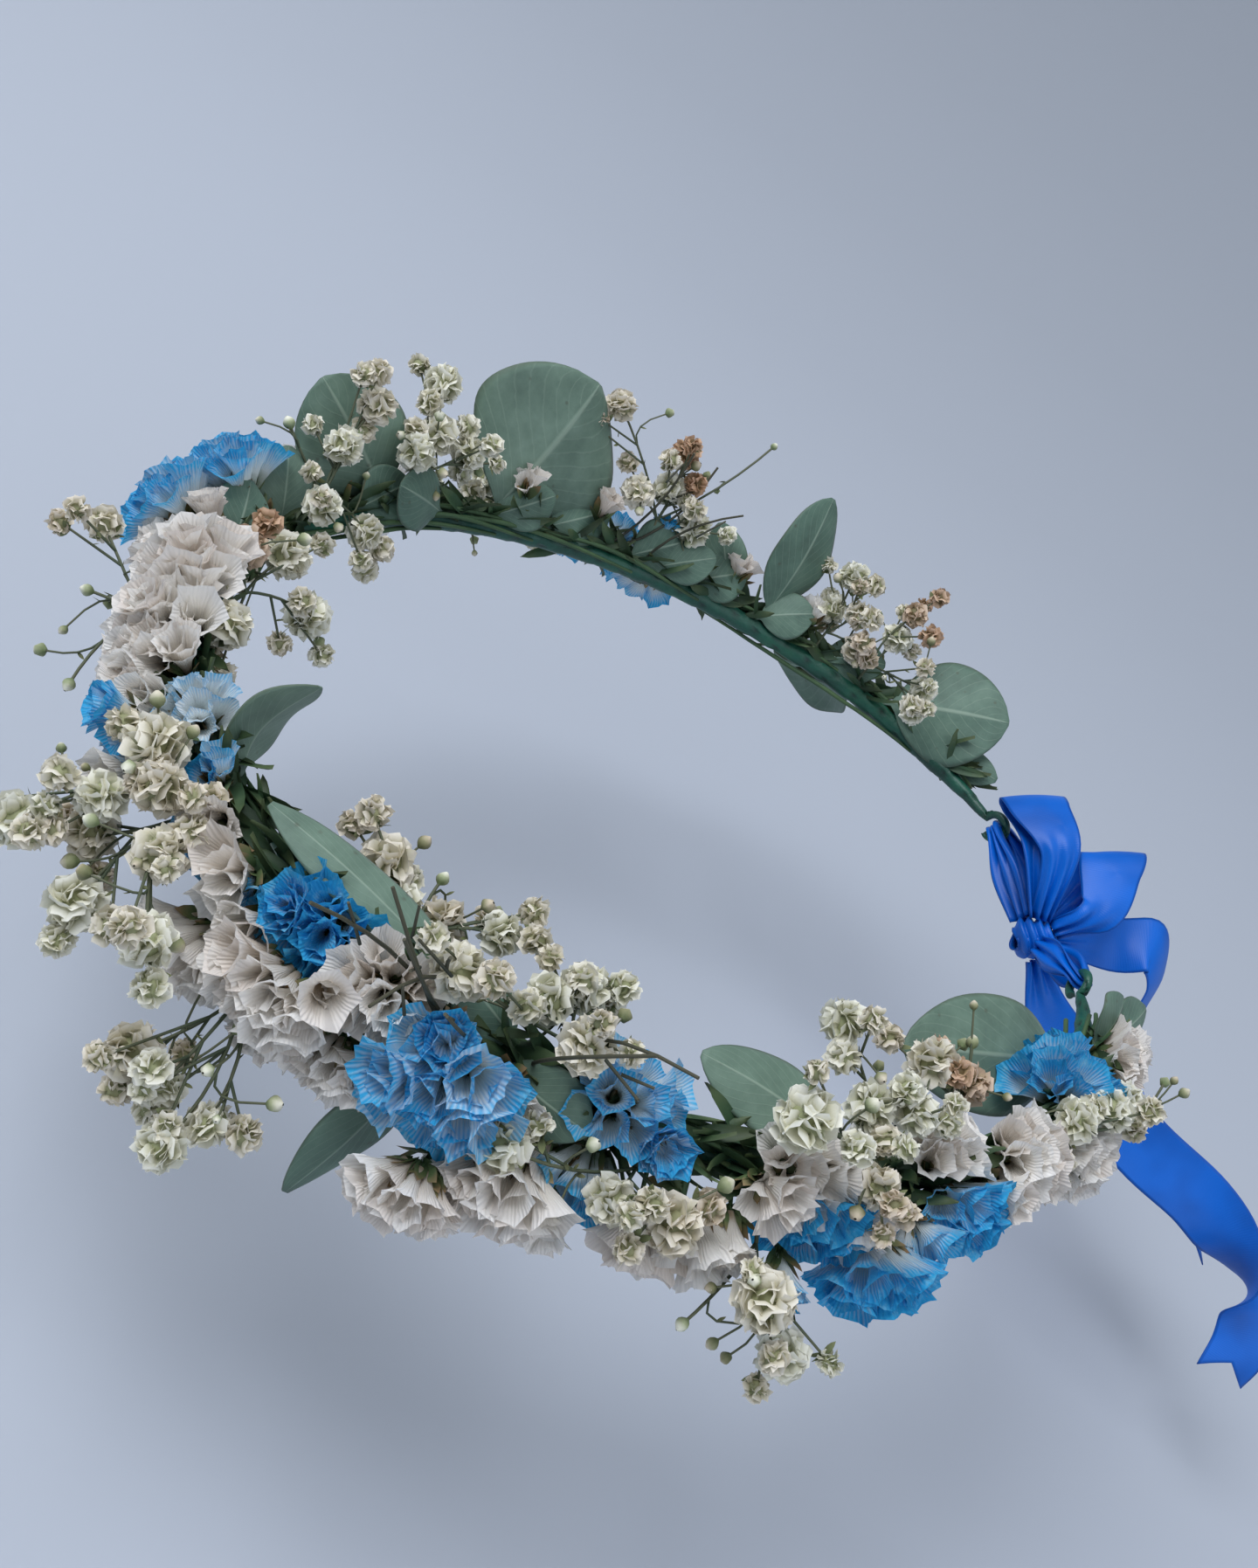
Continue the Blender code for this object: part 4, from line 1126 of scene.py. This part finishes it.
def bowed(start, end, lean, thick, thin, steps=6):
    """A line that leaves start along lean and bows over to end, thinning as it goes."""
    reach = (end - start).length
    middle = start + lean * reach * 0.5
    line = []
    for i in range(steps + 1):
        t = i / steps
        place = start * (1 - t) ** 2 + middle * 2 * t * (1 - t) + end * t**2
        line.append((place, thick + (thin - thick) * t, t))
    return line


def statice_pieces(name, calyxes, bracts, lines, dyed, grown):
    """The calyxes, bracts and stems of statice as meshes, not yet joined."""
    paper = grown["blue_paper"] if dyed else grown["white_paper"]
    return [
        grow(
            name + "_calyxes",
            point_mesh(name, calyxes),
            grown["petals"],
            Shape=grown["calyx"],
            Frill_Depth=0.0024,
            Frill_Size=0.0016,
            Material=paper,
        ),
        grow(
            name + "_bracts",
            point_mesh(name + "_bract", bracts),
            grown["petals"],
            Shape=grown["bract"],
            Frill_Depth=0.0006,
            Frill_Size=0.002,
            Material=grown["bract_green"],
        ),
        grow(name + "_stems", line_mesh(name, lines), grown["stems"], Sides=6, Material=grown["stem_green"]),
    ]


def statice(name, sprig, grown):
    """One sprig of statice: a branched green stem, brown-tipped bracts and fans of papery calyxes."""
    chance = random.Random(name)
    blue = name.startswith("blue")
    mouths = [flower_place(deg, out, up) for deg, out, up, _, _ in sprig["fans"]]
    middle = sum(mouths, Vector()) / len(mouths)
    start, lean = foot_of(sprig["foot"], middle)
    start -= lean * CLEARANCE
    fork = start + lean * (middle - start).length * FORK_SHARE
    lines = [[(start, STATICE_STEM, 0.0), ((start + fork) / 2, STATICE_STEM, 0.2), (fork, STATICE_STEM, 0.3)]]
    calyxes, bracts = [], []
    for mouth, (deg, _, _, size, count) in zip(mouths, sprig["fans"]):
        root, along, _ = ring_axes(deg)
        reach = (mouth - root).length
        way = (mouth - root) / reach
        spread = (along - way * along.dot(way)).normalized()
        cross = way.cross(spread)
        length = min(FAN_LENGTH * size, reach - WIRE_THICK / 2 - FAN_THROAT / 2)
        base = mouth - way * length
        lines.append(bowed(fork, base, (base - fork).normalized(), STATICE_STEM * 0.8, STATICE_STEM * 0.6, 3))
        rows = [(count + 1, 0.62, 0.0), (count + 1, -0.62, 0.0), (count + 2, 0.0, 0.30)]
        for number, tilt, rise in rows:
            for i in range(number):
                s = (i + 0.5) / number * 2 - 1
                way_out = way + spread * s * 0.95 + cross * tilt * 0.9 + jitter(chance, 0.16)
                way_out.normalize()
                foot = base + spread * s * 0.0034 * size + cross * tilt * 0.0026 * size + way * rise * 0.004
                full = max(0.75, min(1.15, size)) * chance.uniform(0.80, 1.04)
                tint = DYE[name] + chance.uniform(-0.15, 0.15) if blue else chance.random() ** 2
                calyxes.append((foot, way_out, chance.uniform(0, math.tau), full, tint))
                lines.append([(base - way * 0.001, STATICE_STEM * 0.55, 0.4), (foot, STATICE_STEM * 0.5, 0.5)])
                for _ in range(BRACTS_PER_CALYX):
                    outer = (way_out + jitter(chance, 0.42)).normalized()
                    turn, full = chance.uniform(0, math.tau), chance.uniform(0.7, 1.15)
                    bracts.append((foot - way_out * 0.0012, outer, turn, full, chance.random()))
        for _ in range(6):
            outer = (way * 0.4 + jitter(chance, 1.0)).normalized()
            bracts.append((base - way * chance.uniform(0.001, 0.004), outer, chance.uniform(0, math.tau), 1.2, 0.3))
    pieces = statice_pieces(name, calyxes, bracts, lines, blue, grown)
    return settle(join(name + "_sprig", pieces), "blue_statice" if blue else "white_statice", name)


def loose_calyxes(dyed, grown):
    """Fills the gaps between the sprigs with pairs of calyxes on their own short stalks."""
    chance = random.Random("loose calyxes")
    calyxes, bracts, lines = [], [], []
    for deg, out, up, size, blue in LOOSE_CALYXES:
        if blue != dyed:
            continue
        mouth = flower_place(deg, out, up)
        root, lean = foot_of(deg, mouth)
        way = (mouth - root).normalized()
        base = mouth - way * FAN_LENGTH * size * 0.8
        lines.append(bowed(root, base, way, STATICE_STEM * 0.7, STATICE_STEM * 0.5, 3))
        for _ in range(4):
            outer = (way + jitter(chance, 0.5)).normalized()
            tint = chance.uniform(0.2, 0.6) if blue else chance.random() ** 2
            calyxes.append((base, outer, chance.uniform(0, math.tau), size * chance.uniform(0.8, 1.05), tint))
        for _ in range(BRACTS_PER_CALYX * 3):
            outer = (way + jitter(chance, 0.7)).normalized()
            bracts.append((base - way * 0.001, outer, chance.uniform(0, math.tau), 1.1, chance.random()))
    name = "loose_blue" if dyed else "loose_white"
    return settle(
        join(name + "_calyxes", statice_pieces(name, calyxes, bracts, lines, dyed, grown)),
        "blue_statice" if dyed else "white_statice",
    )


def floret(chance, centre, size, away, petals, cores, sepals, tint):
    """One double floret: petals all round a ball, a shaded core and five sepals where the stem meets it."""
    radius = BREATH_HEAD * size / 2
    golden = math.pi * (3 - math.sqrt(5))
    count = int(PETALS_PER_HEAD * max(0.5, min(1.0, size)))
    for i in range(count):
        high = 1 - 2 * (i + 0.5) / count
        wide = math.sqrt(1 - high * high)
        spot = Vector((wide * math.cos(golden * i), wide * math.sin(golden * i), high))
        spot = (spot + jitter(chance, 0.16)).normalized()
        outer = (spot + jitter(chance, 0.55)).normalized()
        petals.append(
            (
                centre + spot * radius * 0.42,
                outer,
                chance.uniform(0, math.tau),
                radius / (BREATH_HEAD / 2) * chance.uniform(0.85, 1.15),
                tint,
            )
        )
    cores.append((centre, away, 0.0, radius * 1.25 / 0.001, tint))
    for i in range(5):
        outer = (away * -0.7 + jitter(chance, 0.8)).normalized()
        sepals.append((centre + away * radius * 0.75, outer, chance.uniform(0, math.tau), 0.55, 0.4))


def breath(name, spray, grown):
    """One spray of baby's breath: thin forking stems, dense double florets and small closed buds."""
    chance = random.Random(name)
    places = [flower_place(deg, out, up) for deg, out, up, _ in spray["heads"]]
    middle = sum(places, Vector()) / len(places)
    start, lean = foot_of(spray["foot"], middle)
    start -= lean * CLEARANCE
    fork = start + lean * (middle - start).length * FORK_SHARE
    lines = [bowed(start, fork, lean, BREATH_STEM * 1.5, BREATH_STEM * 1.3, 4)]
    petals, cores, sepals, buds = [], [], [], []
    for place, (_, _, _, size) in zip(places, spray["heads"]):
        side = (place - fork).normalized()
        path = bowed(fork, place, (side + jitter(chance, 0.35)).normalized(), BREATH_STEM * 1.1, BREATH_STEM, 6)
        lines.append(path)
        away = (path[-2][0] - place).normalized()
        tint = chance.random() ** 3 * 0.25 if chance.random() > 0.12 else chance.uniform(0.6, 0.95)
        if size < 0.7:
            buds.append((place + away * BUD_SIZE * 0.7, -away, 0.0, size * 1.9, tint))
        else:
            floret(chance, place, size, away, petals, cores, sepals, tint)
        for _ in range(int(SMALL_HEADS_PER_HEAD + chance.random()) if size >= 0.7 else 0):
            joint = path[chance.choice((2, 3, 4))][0]
            reach = BREATH_HEAD * chance.uniform(0.62, 1.05)
            tip = place + (side * 0.3 + jitter(chance, 1.0)).normalized() * reach
            twig = bowed(joint, tip, (tip - joint).normalized(), BREATH_STEM, BREATH_STEM * 0.8, 4)
            lines.append(twig)
            back = (twig[-2][0] - tip).normalized()
            small = chance.uniform(0.48, 0.72)
            floret(chance, tip, small, back, petals, cores, sepals, min(1.0, tint + chance.uniform(0, 0.25)))
        for _ in range(int(TWIGS_PER_HEAD + chance.random())):
            joint = path[chance.choice((2, 3, 4))][0]
            tip = joint + (side * 0.5 + jitter(chance, 1.0)).normalized() * chance.uniform(0.006, 0.011)
            bow = (side + jitter(chance, 0.4)).normalized()
            twig = bowed(joint, tip, bow, BREATH_STEM * 0.8, BREATH_STEM * 0.7, 4)
            lines.append(twig)
            way = (twig[-1][0] - twig[-2][0]).normalized()
            buds.append((tip, way, chance.uniform(0, math.tau), chance.uniform(0.65, 1.25), chance.random() * 0.6))
    for line in lines[1:]:
        joint = line[len(line) // 2][0]
        sepals.append((joint, jitter(chance, 1.0).normalized(), 0.0, 0.30, 0.6))
    pieces = [grow(name + "_stems", line_mesh(name, lines), grown["stems"], Sides=5, Material=grown["breath_stem"])]
    for label, rows, shape, depth, material in (
        ("_petals", petals, "petal", 0.0016, "breath_petal"),
        ("_cores", cores, "core", 0.0, "breath_core"),
        ("_sepals", sepals, "bract", 0.0004, "breath_sepal"),
        ("_buds", buds, "bud", 0.0003, "breath_bud"),
    ):
        if rows:
            pieces.append(
                grow(
                    name + label,
                    point_mesh(name + label, rows),
                    grown["petals"],
                    Shape=grown[shape],
                    Frill_Depth=depth,
                    Frill_Size=0.0012,
                    Material=grown[material],
                )
            )
    return settle(join(name + "_spray", pieces), "babys_breath", name)


# Leaves and ribbon


def strip_object(name, rows, columns, bend, material, wall, notch=0.0, tint=0.0):
    """A strip through rows of (place, side, facing, width, run): bend(v, i) lifts it across, v -1 to 1."""
    mesh = bpy.data.meshes.new(name)
    corners, sides, runs = [], [], []
    last = len(rows) - 1
    for i in range(last + 1):
        for j in range(columns + 1):
            v = 2 * j / columns - 1
            # The middle of a swallow-tail end stops short of its two points
            at = i * (1 - notch * (1 - abs(v)))
            k = min(int(at), last - 1)
            before, after, t = rows[k], rows[k + 1], at - k
            place, side, facing, width, run = [a * (1 - t) + b * t for a, b in zip(before, after)]
            corners.append(place + side * (v * width / 2) + facing * bend(v, at / last))
            sides.append(v)
            runs.append(run)
    faces = []
    wide = columns + 1
    for i in range(last):
        for j in range(columns):
            faces.append((i * wide + j, i * wide + j + 1, (i + 1) * wide + j + 1, (i + 1) * wide + j))
    mesh.from_pydata(corners, [], faces)
    mesh.attributes.new("side", "FLOAT", "POINT").data.foreach_set("value", sides)
    mesh.attributes.new("run", "FLOAT", "POINT").data.foreach_set("value", runs)
    mesh.attributes.new("tint", "FLOAT", "POINT").data.foreach_set("value", [tint] * len(corners))
    mesh.polygons.foreach_set("use_smooth", [True] * len(faces))
    mesh.materials.append(material)
    obj = link(bpy.data.objects.new(name, mesh))
    thick = obj.modifiers.new("wall", "SOLIDIFY")
    thick.thickness = wall
    thick.offset = 0
    return obj


def leaf(name, table, grown, *nodes):
    """One eucalyptus leaf: a cupped blade that waves a little at its edge, on its stalk."""
    chance = random.Random(name)
    end = flower_place(*table["tip"])
    start, lean = foot_of(table["foot"], end)
    _, along, outward = ring_axes(table["foot"])
    face = table["face"]
    facing = (outward * face[0] + Vector((0, 0, face[1])) + along * face[2]).normalized()
    length = (end - start).length
    rows, count = [], 26
    points = []
    for i in range(count + 1):
        u = i / count
        points.append(start.lerp(end, u) + facing * (table["lift"] * length * math.sin(math.pi * u)))
    for i, (point, way) in enumerate(zip(points, directions(points))):
        u = i / count
        side = square_side(way.cross(facing), way)
        width = max(LEAF_STALK_WIDTH * 0.7, table["width"] * blade_share(u))
        rows.append((point, side, side.cross(way), width, u))
    cup = table["width"] * 0.07
    phase = chance.uniform(0, math.tau)

    def bend(v, u):
        share = blade_share(u)
        edge = abs(v) ** 3 * 0.045 * table["width"] * math.sin(9 * u + phase + (1.5 if v > 0 else 0))
        return (-cup * v * v + edge + 0.02 * table["width"] * math.exp(-((v / 0.12) ** 2))) * share

    # The tint is painted shade: as listed in SHADED, else 0.3 for the big leaves and 0.95 for the small ones
    tint = min(1.0, max(0.0, SHADED.get(name, 0.3 if nodes else 0.95) + chance.uniform(-0.1, 0.1)))
    obj = strip_object(name + "_blade", rows, 16, bend, grown["leaf"], LEAF_WALL, tint=tint)
    return settle(obj, "eucalyptus_leaf", *nodes)


def ribbon(name, stops, sides, widths, grown, notch=0.0):
    """One run of ribbon through its stops, a little hollow across."""
    steps = 9
    places = smooth_path(stops, steps)
    rows, run = [], 0.0
    smooth_sides = smooth_path(sides, steps)
    smooth_widths = smooth_path([Vector((w, 0, 0)) for w in widths], steps)
    ways = directions(places)
    for i, (place, side, width, way) in enumerate(zip(places, smooth_sides, smooth_widths, ways)):
        if i:
            run += (place - places[i - 1]).length
        across = square_side(side, way)
        rows.append((place, across, across.cross(way), width.x * RIBBON_WIDTH, run))
    pinch = [min(1.0, row[3] / RIBBON_WIDTH) for row in rows]

    def bend(v, u):
        share = pinch[round(u * (len(pinch) - 1))]
        # Folds that take up the ribbon's own width where it is gathered at the knot or an eye
        gathered = max(0.0, 1 - share / GATHERED_BELOW)
        fold = gathered * math.sqrt(1 - share * share) / 7.5 * math.cos(2.5 * math.pi * v + 0.6)
        return RIBBON_WIDTH * (fold + 0.035 * v * v)

    obj = strip_object(name + "_satin", rows, 18, bend, grown["satin"], SATIN_WALL, notch)
    settle(obj, "blue_satin", name)
    return obj


def ribbon_from_table(name, table, unit, grown, is_loop=False):
    """A loop or tail of the bow from its table of rows."""
    knot = knot_place()
    stops = [knot + Vector(row[:3]) * unit for row in table]
    stops[0] = off_knot(stops[0])
    if is_loop:
        stops[-1] = off_knot(stops[-1])
    notch = 0.0 if is_loop else RIBBON_WIDTH * NOTCH_DEEP / unit
    sides = [Vector(row[4:7]) for row in table]
    return ribbon(name, stops, sides, [row[3] for row in table], grown, notch)


def tie(name, end_deg, toward_knot, grown):
    """The ribbon between the knot and one eye of the wire, doubled through the eye."""
    middle, along, outward = ring_axes(end_deg)
    way = along * toward_knot
    hook = middle + way * EYE_RADIUS * 2
    turn = EYE_RADIUS * EYE_TURN
    run = knot_place() - hook
    up = Vector((0, 0, 1))
    stops, widths = [], []
    for share, out, rise, width in TIE_ROWS:
        stops.append(hook + run * share + outward * out * turn + up * rise * RIBBON_WIDTH)
        widths.append(width)
    stops.insert(len(TIE_ROWS) // 2, hook - way * turn)
    widths.insert(len(TIE_ROWS) // 2, EYE_PINCH)
    stops[0] = off_knot(stops[0])
    stops[-1] = off_knot(stops[-1])
    return ribbon(name, stops, [up] * len(stops), widths, grown)


def knot(grown):
    """The bow's knot: one turn of ribbon wound tight round the others, with folds across it."""
    centre = knot_place()
    axis = Vector((0.2, 0.8, 0.5)).normalized()
    first = axis.orthogonal().normalized()
    second = axis.cross(first)
    steps, rows = 40, []
    for i in range(steps + 1):
        turn = math.tau * 1.15 * i / steps
        radius = KNOT_SIZE / 2 * (0.84 + 0.10 * i / steps)
        outward = first * math.cos(turn) + second * math.sin(turn)
        lean = axis * (0.0006 * math.sin(turn * 2))
        rows.append((centre + outward * radius + lean, axis, outward, KNOT_SIZE * 0.92, radius * turn))

    def bend(v, u):
        return KNOT_SIZE * (0.075 * math.cos(4 * math.pi * v + 2 * u) - 0.22 * v**4)

    obj = strip_object("bow_knot_satin", rows, 20, bend, grown["satin"], SATIN_WALL)
    settle(obj, "blue_satin", "bow_knot")
    return obj


def wire_line():
    """The wire's middle line: an eye at each end and the open oval between them."""
    eyes = []
    for end_deg, side in ((NEAR_END_DEG, 1), (FAR_END_DEG, -1)):
        middle, along, _ = ring_axes(end_deg)
        way = along * side
        centre = middle + way * EYE_RADIUS
        eye = []
        for i in range(EYE_STEPS * 4 + 1):
            turn = math.radians(180 - EYE_SWEEP_DEG * i / (EYE_STEPS * 4))
            offset = way * math.cos(turn) + Vector((0, 0, math.sin(turn)))
            eye.append((centre + offset * EYE_RADIUS, WIRE_END_THICK, 1.0))
        eyes.append(eye)
    near_eye, far_eye = eyes
    band = []
    for deg in range(NEAR_END_DEG - 1, FAR_END_DEG - 360, -1):
        from_end = min(NEAR_END_DEG - deg, deg + 360 - FAR_END_DEG)
        swell = min(1.0, from_end / TAPER_DEG)
        lump = 1 + 0.05 * noise.noise(Vector((deg * 0.35, 0.0, 0.0)))
        band.append((ring_place(deg, 0, 0), (WIRE_END_THICK + (WIRE_THICK - WIRE_END_THICK) * swell) * lump, 1.0))
    return list(reversed(near_eye)) + band + far_eye


def bound_stems(grown):
    """Cut stems of the sprigs laid along the band and wound under its tape here and there."""
    chance = random.Random("bound stems")
    lines = []
    for _ in range(BOUND_STEMS * 5):
        first = chance.uniform(-150, 140)
        length = chance.uniform(18, 42)
        phase = chance.uniform(0, math.tau)
        line = []
        for k in range(15):
            t = k / 14
            deg = first + length * t
            if deg > NEAR_END_DEG - 6:
                break
            turn = phase + 0.6 * math.sin(3 * t + phase)
            reach = WIRE_THICK / 2 + BOUND_STEM * (0.35 + 1.1 * math.sin(math.pi * t) * chance.uniform(0.8, 1.0))
            place = ring_place(deg, reach * math.cos(turn), reach * math.sin(turn))
            line.append((place, BOUND_STEM * (0.6 + 0.4 * math.sin(math.pi * t)), chance.uniform(0.1, 0.6)))
        if len(line) > 4:
            lines.append(line)
    return grow("bound_stems", line_mesh("bound", lines), grown["stems"], Sides=6, Material=grown["stem_green"])


def greens(grown):
    """The sprigs' own narrow green leaves, cut short and pressed round the band between the flowers."""
    chance = random.Random("greens")
    rows = []
    sweep = NEAR_END_DEG + 360 - FAR_END_DEG
    for _ in range(int(GREENS_PER_DEG * sweep)):
        deg = NEAR_END_DEG - 8 - chance.random() * (sweep - 16)
        middle, along, outward = ring_axes(deg)
        turn = chance.uniform(-0.5, 1.25) * math.pi / 2
        lean = outward * math.cos(turn) + Vector((0, 0, math.sin(turn)))
        foot = middle + lean * WIRE_THICK * 0.45
        way = (lean * chance.uniform(0.25, 0.9) + along * chance.choice((-1, 1)) + jitter(chance, 0.35)).normalized()
        rows.append((foot, way, chance.uniform(0, math.tau), chance.uniform(0.5, 1.0), chance.random() * 0.7))
    return grow(
        "sprig_greens",
        point_mesh("greens", rows),
        grown["petals"],
        Shape=grown["green"],
        Frill_Depth=0.0012,
        Frill_Size=0.004,
        Material=grown["green_leaf"],
    )


def bare_twigs(grown):
    """Dry dark stems that stand free between the flowers, each with one short side twig."""
    chance = random.Random("bare twigs")
    lines = []
    for foot_deg, deg, out, up in BARE_TWIGS:
        tip = flower_place(deg, out, up)
        start, lean = foot_of(foot_deg, tip)
        start -= lean * CLEARANCE
        way = (tip - start).normalized()
        lines.append(bowed(start, tip, (way + jitter(chance, 0.6)).normalized(), BREATH_STEM * 1.3, BREATH_STEM))
        fork = start.lerp(tip, chance.uniform(0.5, 0.75))
        side = (way + jitter(chance, 0.6)).normalized()
        end = fork + side * chance.uniform(0.004, 0.009)
        lines.append(bowed(fork, end, side, BREATH_STEM, BREATH_STEM * 0.8, 3))
    return grow("bare_twigs", line_mesh("twigs", lines), grown["stems"], Sides=6, Material=grown["dark_twig"])


# Stage


def stage():
    """Plain pale floor, soft light from above and the camera at the photograph's angle."""
    # The floor curves up far away, so that no view shows its edge
    low, around, rings = cad_box[0].z - 0.03, 64, 16
    mesh = bpy.data.meshes.new("floor")
    corners, faces = [(0, 0, low)], []
    for i in range(1, rings + 1):
        reach = 5.0 * i / rings
        for k in range(around):
            turn = math.tau * k / around
            corners.append((reach * math.cos(turn), reach * math.sin(turn), low + max(0, reach - 0.6) ** 2 * 0.25))
    for k in range(around):
        after = (k + 1) % around
        faces.append((0, 1 + k, 1 + after))
        for i in range(rings - 1):
            inner, outer = 1 + i * around, 1 + (i + 1) * around
            faces.append((inner + k, outer + k, outer + after, inner + after))
    mesh.from_pydata(corners, [], faces)
    mesh.polygons.foreach_set("use_smooth", [True] * len(faces))
    mesh.materials.append(plain_floor())
    link(bpy.data.objects.new("floor", mesh))

    world = bpy.context.scene.world or bpy.data.worlds.new("soft_room")
    bpy.context.scene.world = world
    world.use_nodes = True
    sky = world.node_tree.nodes["Background"]
    sky.inputs["Color"].default_value = linear("#d8dde4")
    sky.inputs["Strength"].default_value = 0.85
    bpy.context.scene.view_settings.view_transform = "Standard"

    for name, place, size, power, code in (
        ("window_above", (-0.25, -0.75, 1.25), 1.0, 20.0, "#f2f6ff"),
        ("fill_left", (1.1, 0.3, 0.6), 1.2, 5.0, "#eaf0ff"),
    ):
        lamp = bpy.data.lights.new(name, "AREA")
        lamp.shape = "SQUARE"
        lamp.size = size
        lamp.energy = power
        lamp.color = linear(code)[:3]
        holder = link(bpy.data.objects.new(name, lamp))
        holder.location = place
        holder.rotation_euler = (-Vector(place)).to_track_quat("-Z", "Y").to_euler()
        holder.visible_camera = False

    # The photograph's view: its bearing, height and roll in degrees, distance and lens
    bearing, height, roll = math.radians(55.0), math.radians(32.1), math.radians(36.2)
    back = Vector((math.sin(bearing) * math.cos(height), -math.cos(bearing) * math.cos(height), math.sin(height)))
    right = (-back).cross(Vector((0, 0, 1))).normalized()
    top = right.cross(-back)
    turned_right = right * math.cos(roll) + top * math.sin(roll)
    turned_top = top * math.cos(roll) - right * math.sin(roll)
    camera = bpy.data.cameras.new("camera")
    camera.sensor_fit = "AUTO"
    camera.sensor_width = 36.0
    camera.lens = 34.1
    camera.clip_start = 0.01
    holder = link(bpy.data.objects.new("camera", camera))
    turn = Matrix((turned_right, turned_top, back)).transposed().to_4x4()
    holder.matrix_world = Matrix.Translation((0.1987, -0.1545, 0.1531)) @ turn
    bpy.context.scene.camera = holder


# How dark each leaf stands in the photograph, from 0, pale, to 1, dark. The darkness is painted shade mixed into the
# leaf's colour
SHADED = {
    "eucalyptus_leaf_02": 0.45,
    "eucalyptus_leaf_03": 0.60,
    "eucalyptus_leaf_04": 0.90,
    "eucalyptus_leaf_05": 0.70,
    "eucalyptus_leaf_11": 0.80,
    "small_leaf_13": 0.80,
    "small_leaf_14": 0.90,
    "small_leaf_15": 0.70,
}


def main():
    """Builds the stage and every piece."""
    stage()
    shapes = {
        "calyx": calyx_shape(),
        "petal": petal_shape(),
        "bract": bract_shape(),
        "bud": bud_shape(),
        "green": green_shape(),
        "core": core_shape(),
    }
    for shape in shapes.values():
        link(shape)
    grown = dict(
        shapes,
        petals=petals_tree(),
        stems=stems_tree(),
        leaf=leaf_blade(),
        satin=satin(),
        white_paper=calyx_paper("papery_white_calyx", "#b5a184", "#ece6da", "#fbf8f2"),
        blue_paper=calyx_paper(
            "papery_dyed_calyx", "#98a890", "#e6eeec", "#f2f7f7", dyed=("#0096d2", "#36b6e8", "#a6e0f2")
        ),
        bract_green=plant_tissue(
            "dried_statice_bract", [(0.0, "#3c5a34"), (0.55, "#5f7448"), (0.95, "#9c8462")], "#b9a488"
        ),
        green_leaf=plant_tissue(
            "statice_green_leaf", [(0.0, "#263f2a"), (0.5, "#385638"), (1.0, "#5c6e48")], "#a89a78", 0.6, 260.0, 0.15
        ),
        stem_green=plant_tissue("winged_statice_stem", [(0.0, "#2f4a30"), (0.9, "#4f6a40")], "#a8a080"),
        dark_twig=plant_tissue("dry_dark_twig", [(0.0, "#232a1e"), (0.9, "#4a4836")], "#9a8468"),
        breath_petal=plant_tissue(
            "double_floret_petal",
            [(0.05, "#9aa07a"), (0.36, "#dcdac0"), (0.90, "#f6f4e6")],
            "#dcb8a2",
            0.8,
            700.0,
            0.25,
        ),
        breath_core=plant_tissue("floret_core", [(0.0, "#8b9068"), (1.0, "#a5a880")], "#a07a60"),
        breath_sepal=plant_tissue("floret_sepal", [(0.0, "#5e6c46"), (1.0, "#8a9468")], "#a08a6a"),
        breath_bud=plant_tissue(
            "closed_bud", [(0.10, "#6b7a50"), (0.55, "#a0a882"), (0.90, "#e4e3ce")], "#c0a084"
        ),
        breath_stem=plant_tissue("fine_breath_stem", [(0.0, "#3d4a34"), (1.0, "#5c5f46")], "#8a7458"),
    )
    wire = grow(
        "wire_band_taped",
        line_mesh("wire", [wire_line()]),
        tape_tree(),
        Sides=24,
        Pitch=TAPE_PITCH,
        Step=0.00035,
        Material=crepe_tape(),
    )
    settle(wire, "floral_tape", "wire_band")
    settle(bound_stems(grown), "white_statice")
    settle(greens(grown), "white_statice")
    settle(bare_twigs(grown), "white_statice")
    for name, table in LEAVES.items():
        leaf(name, table, grown, name)
    for name, table in SMALL_LEAVES.items():
        leaf(name, table, grown)
    for name, sprig in STATICE.items():
        statice(name, sprig, grown)
    loose_calyxes(0, grown)
    loose_calyxes(1, grown)
    for name, spray in SPRAYS.items():
        breath(name, spray, grown)
    tie("ribbon_tie_near", NEAR_END_DEG, 1, grown)
    tie("ribbon_tie_far", FAR_END_DEG, -1, grown)
    knot(grown)
    ribbon_from_table("bow_loop_upper", UPPER_LOOP, LOOP_LENGTH, grown, is_loop=True)
    ribbon_from_table("bow_loop_side", SIDE_LOOP, LOOP_LENGTH, grown, is_loop=True)
    ribbon_from_table("ribbon_tail_long", LONG_TAIL, TAIL_LENGTH, grown)
    ribbon_from_table("ribbon_tail_short", SHORT_TAIL, TAIL_LENGTH, grown)
    for shape in shapes.values():
        bpy.data.objects.remove(shape)


main()
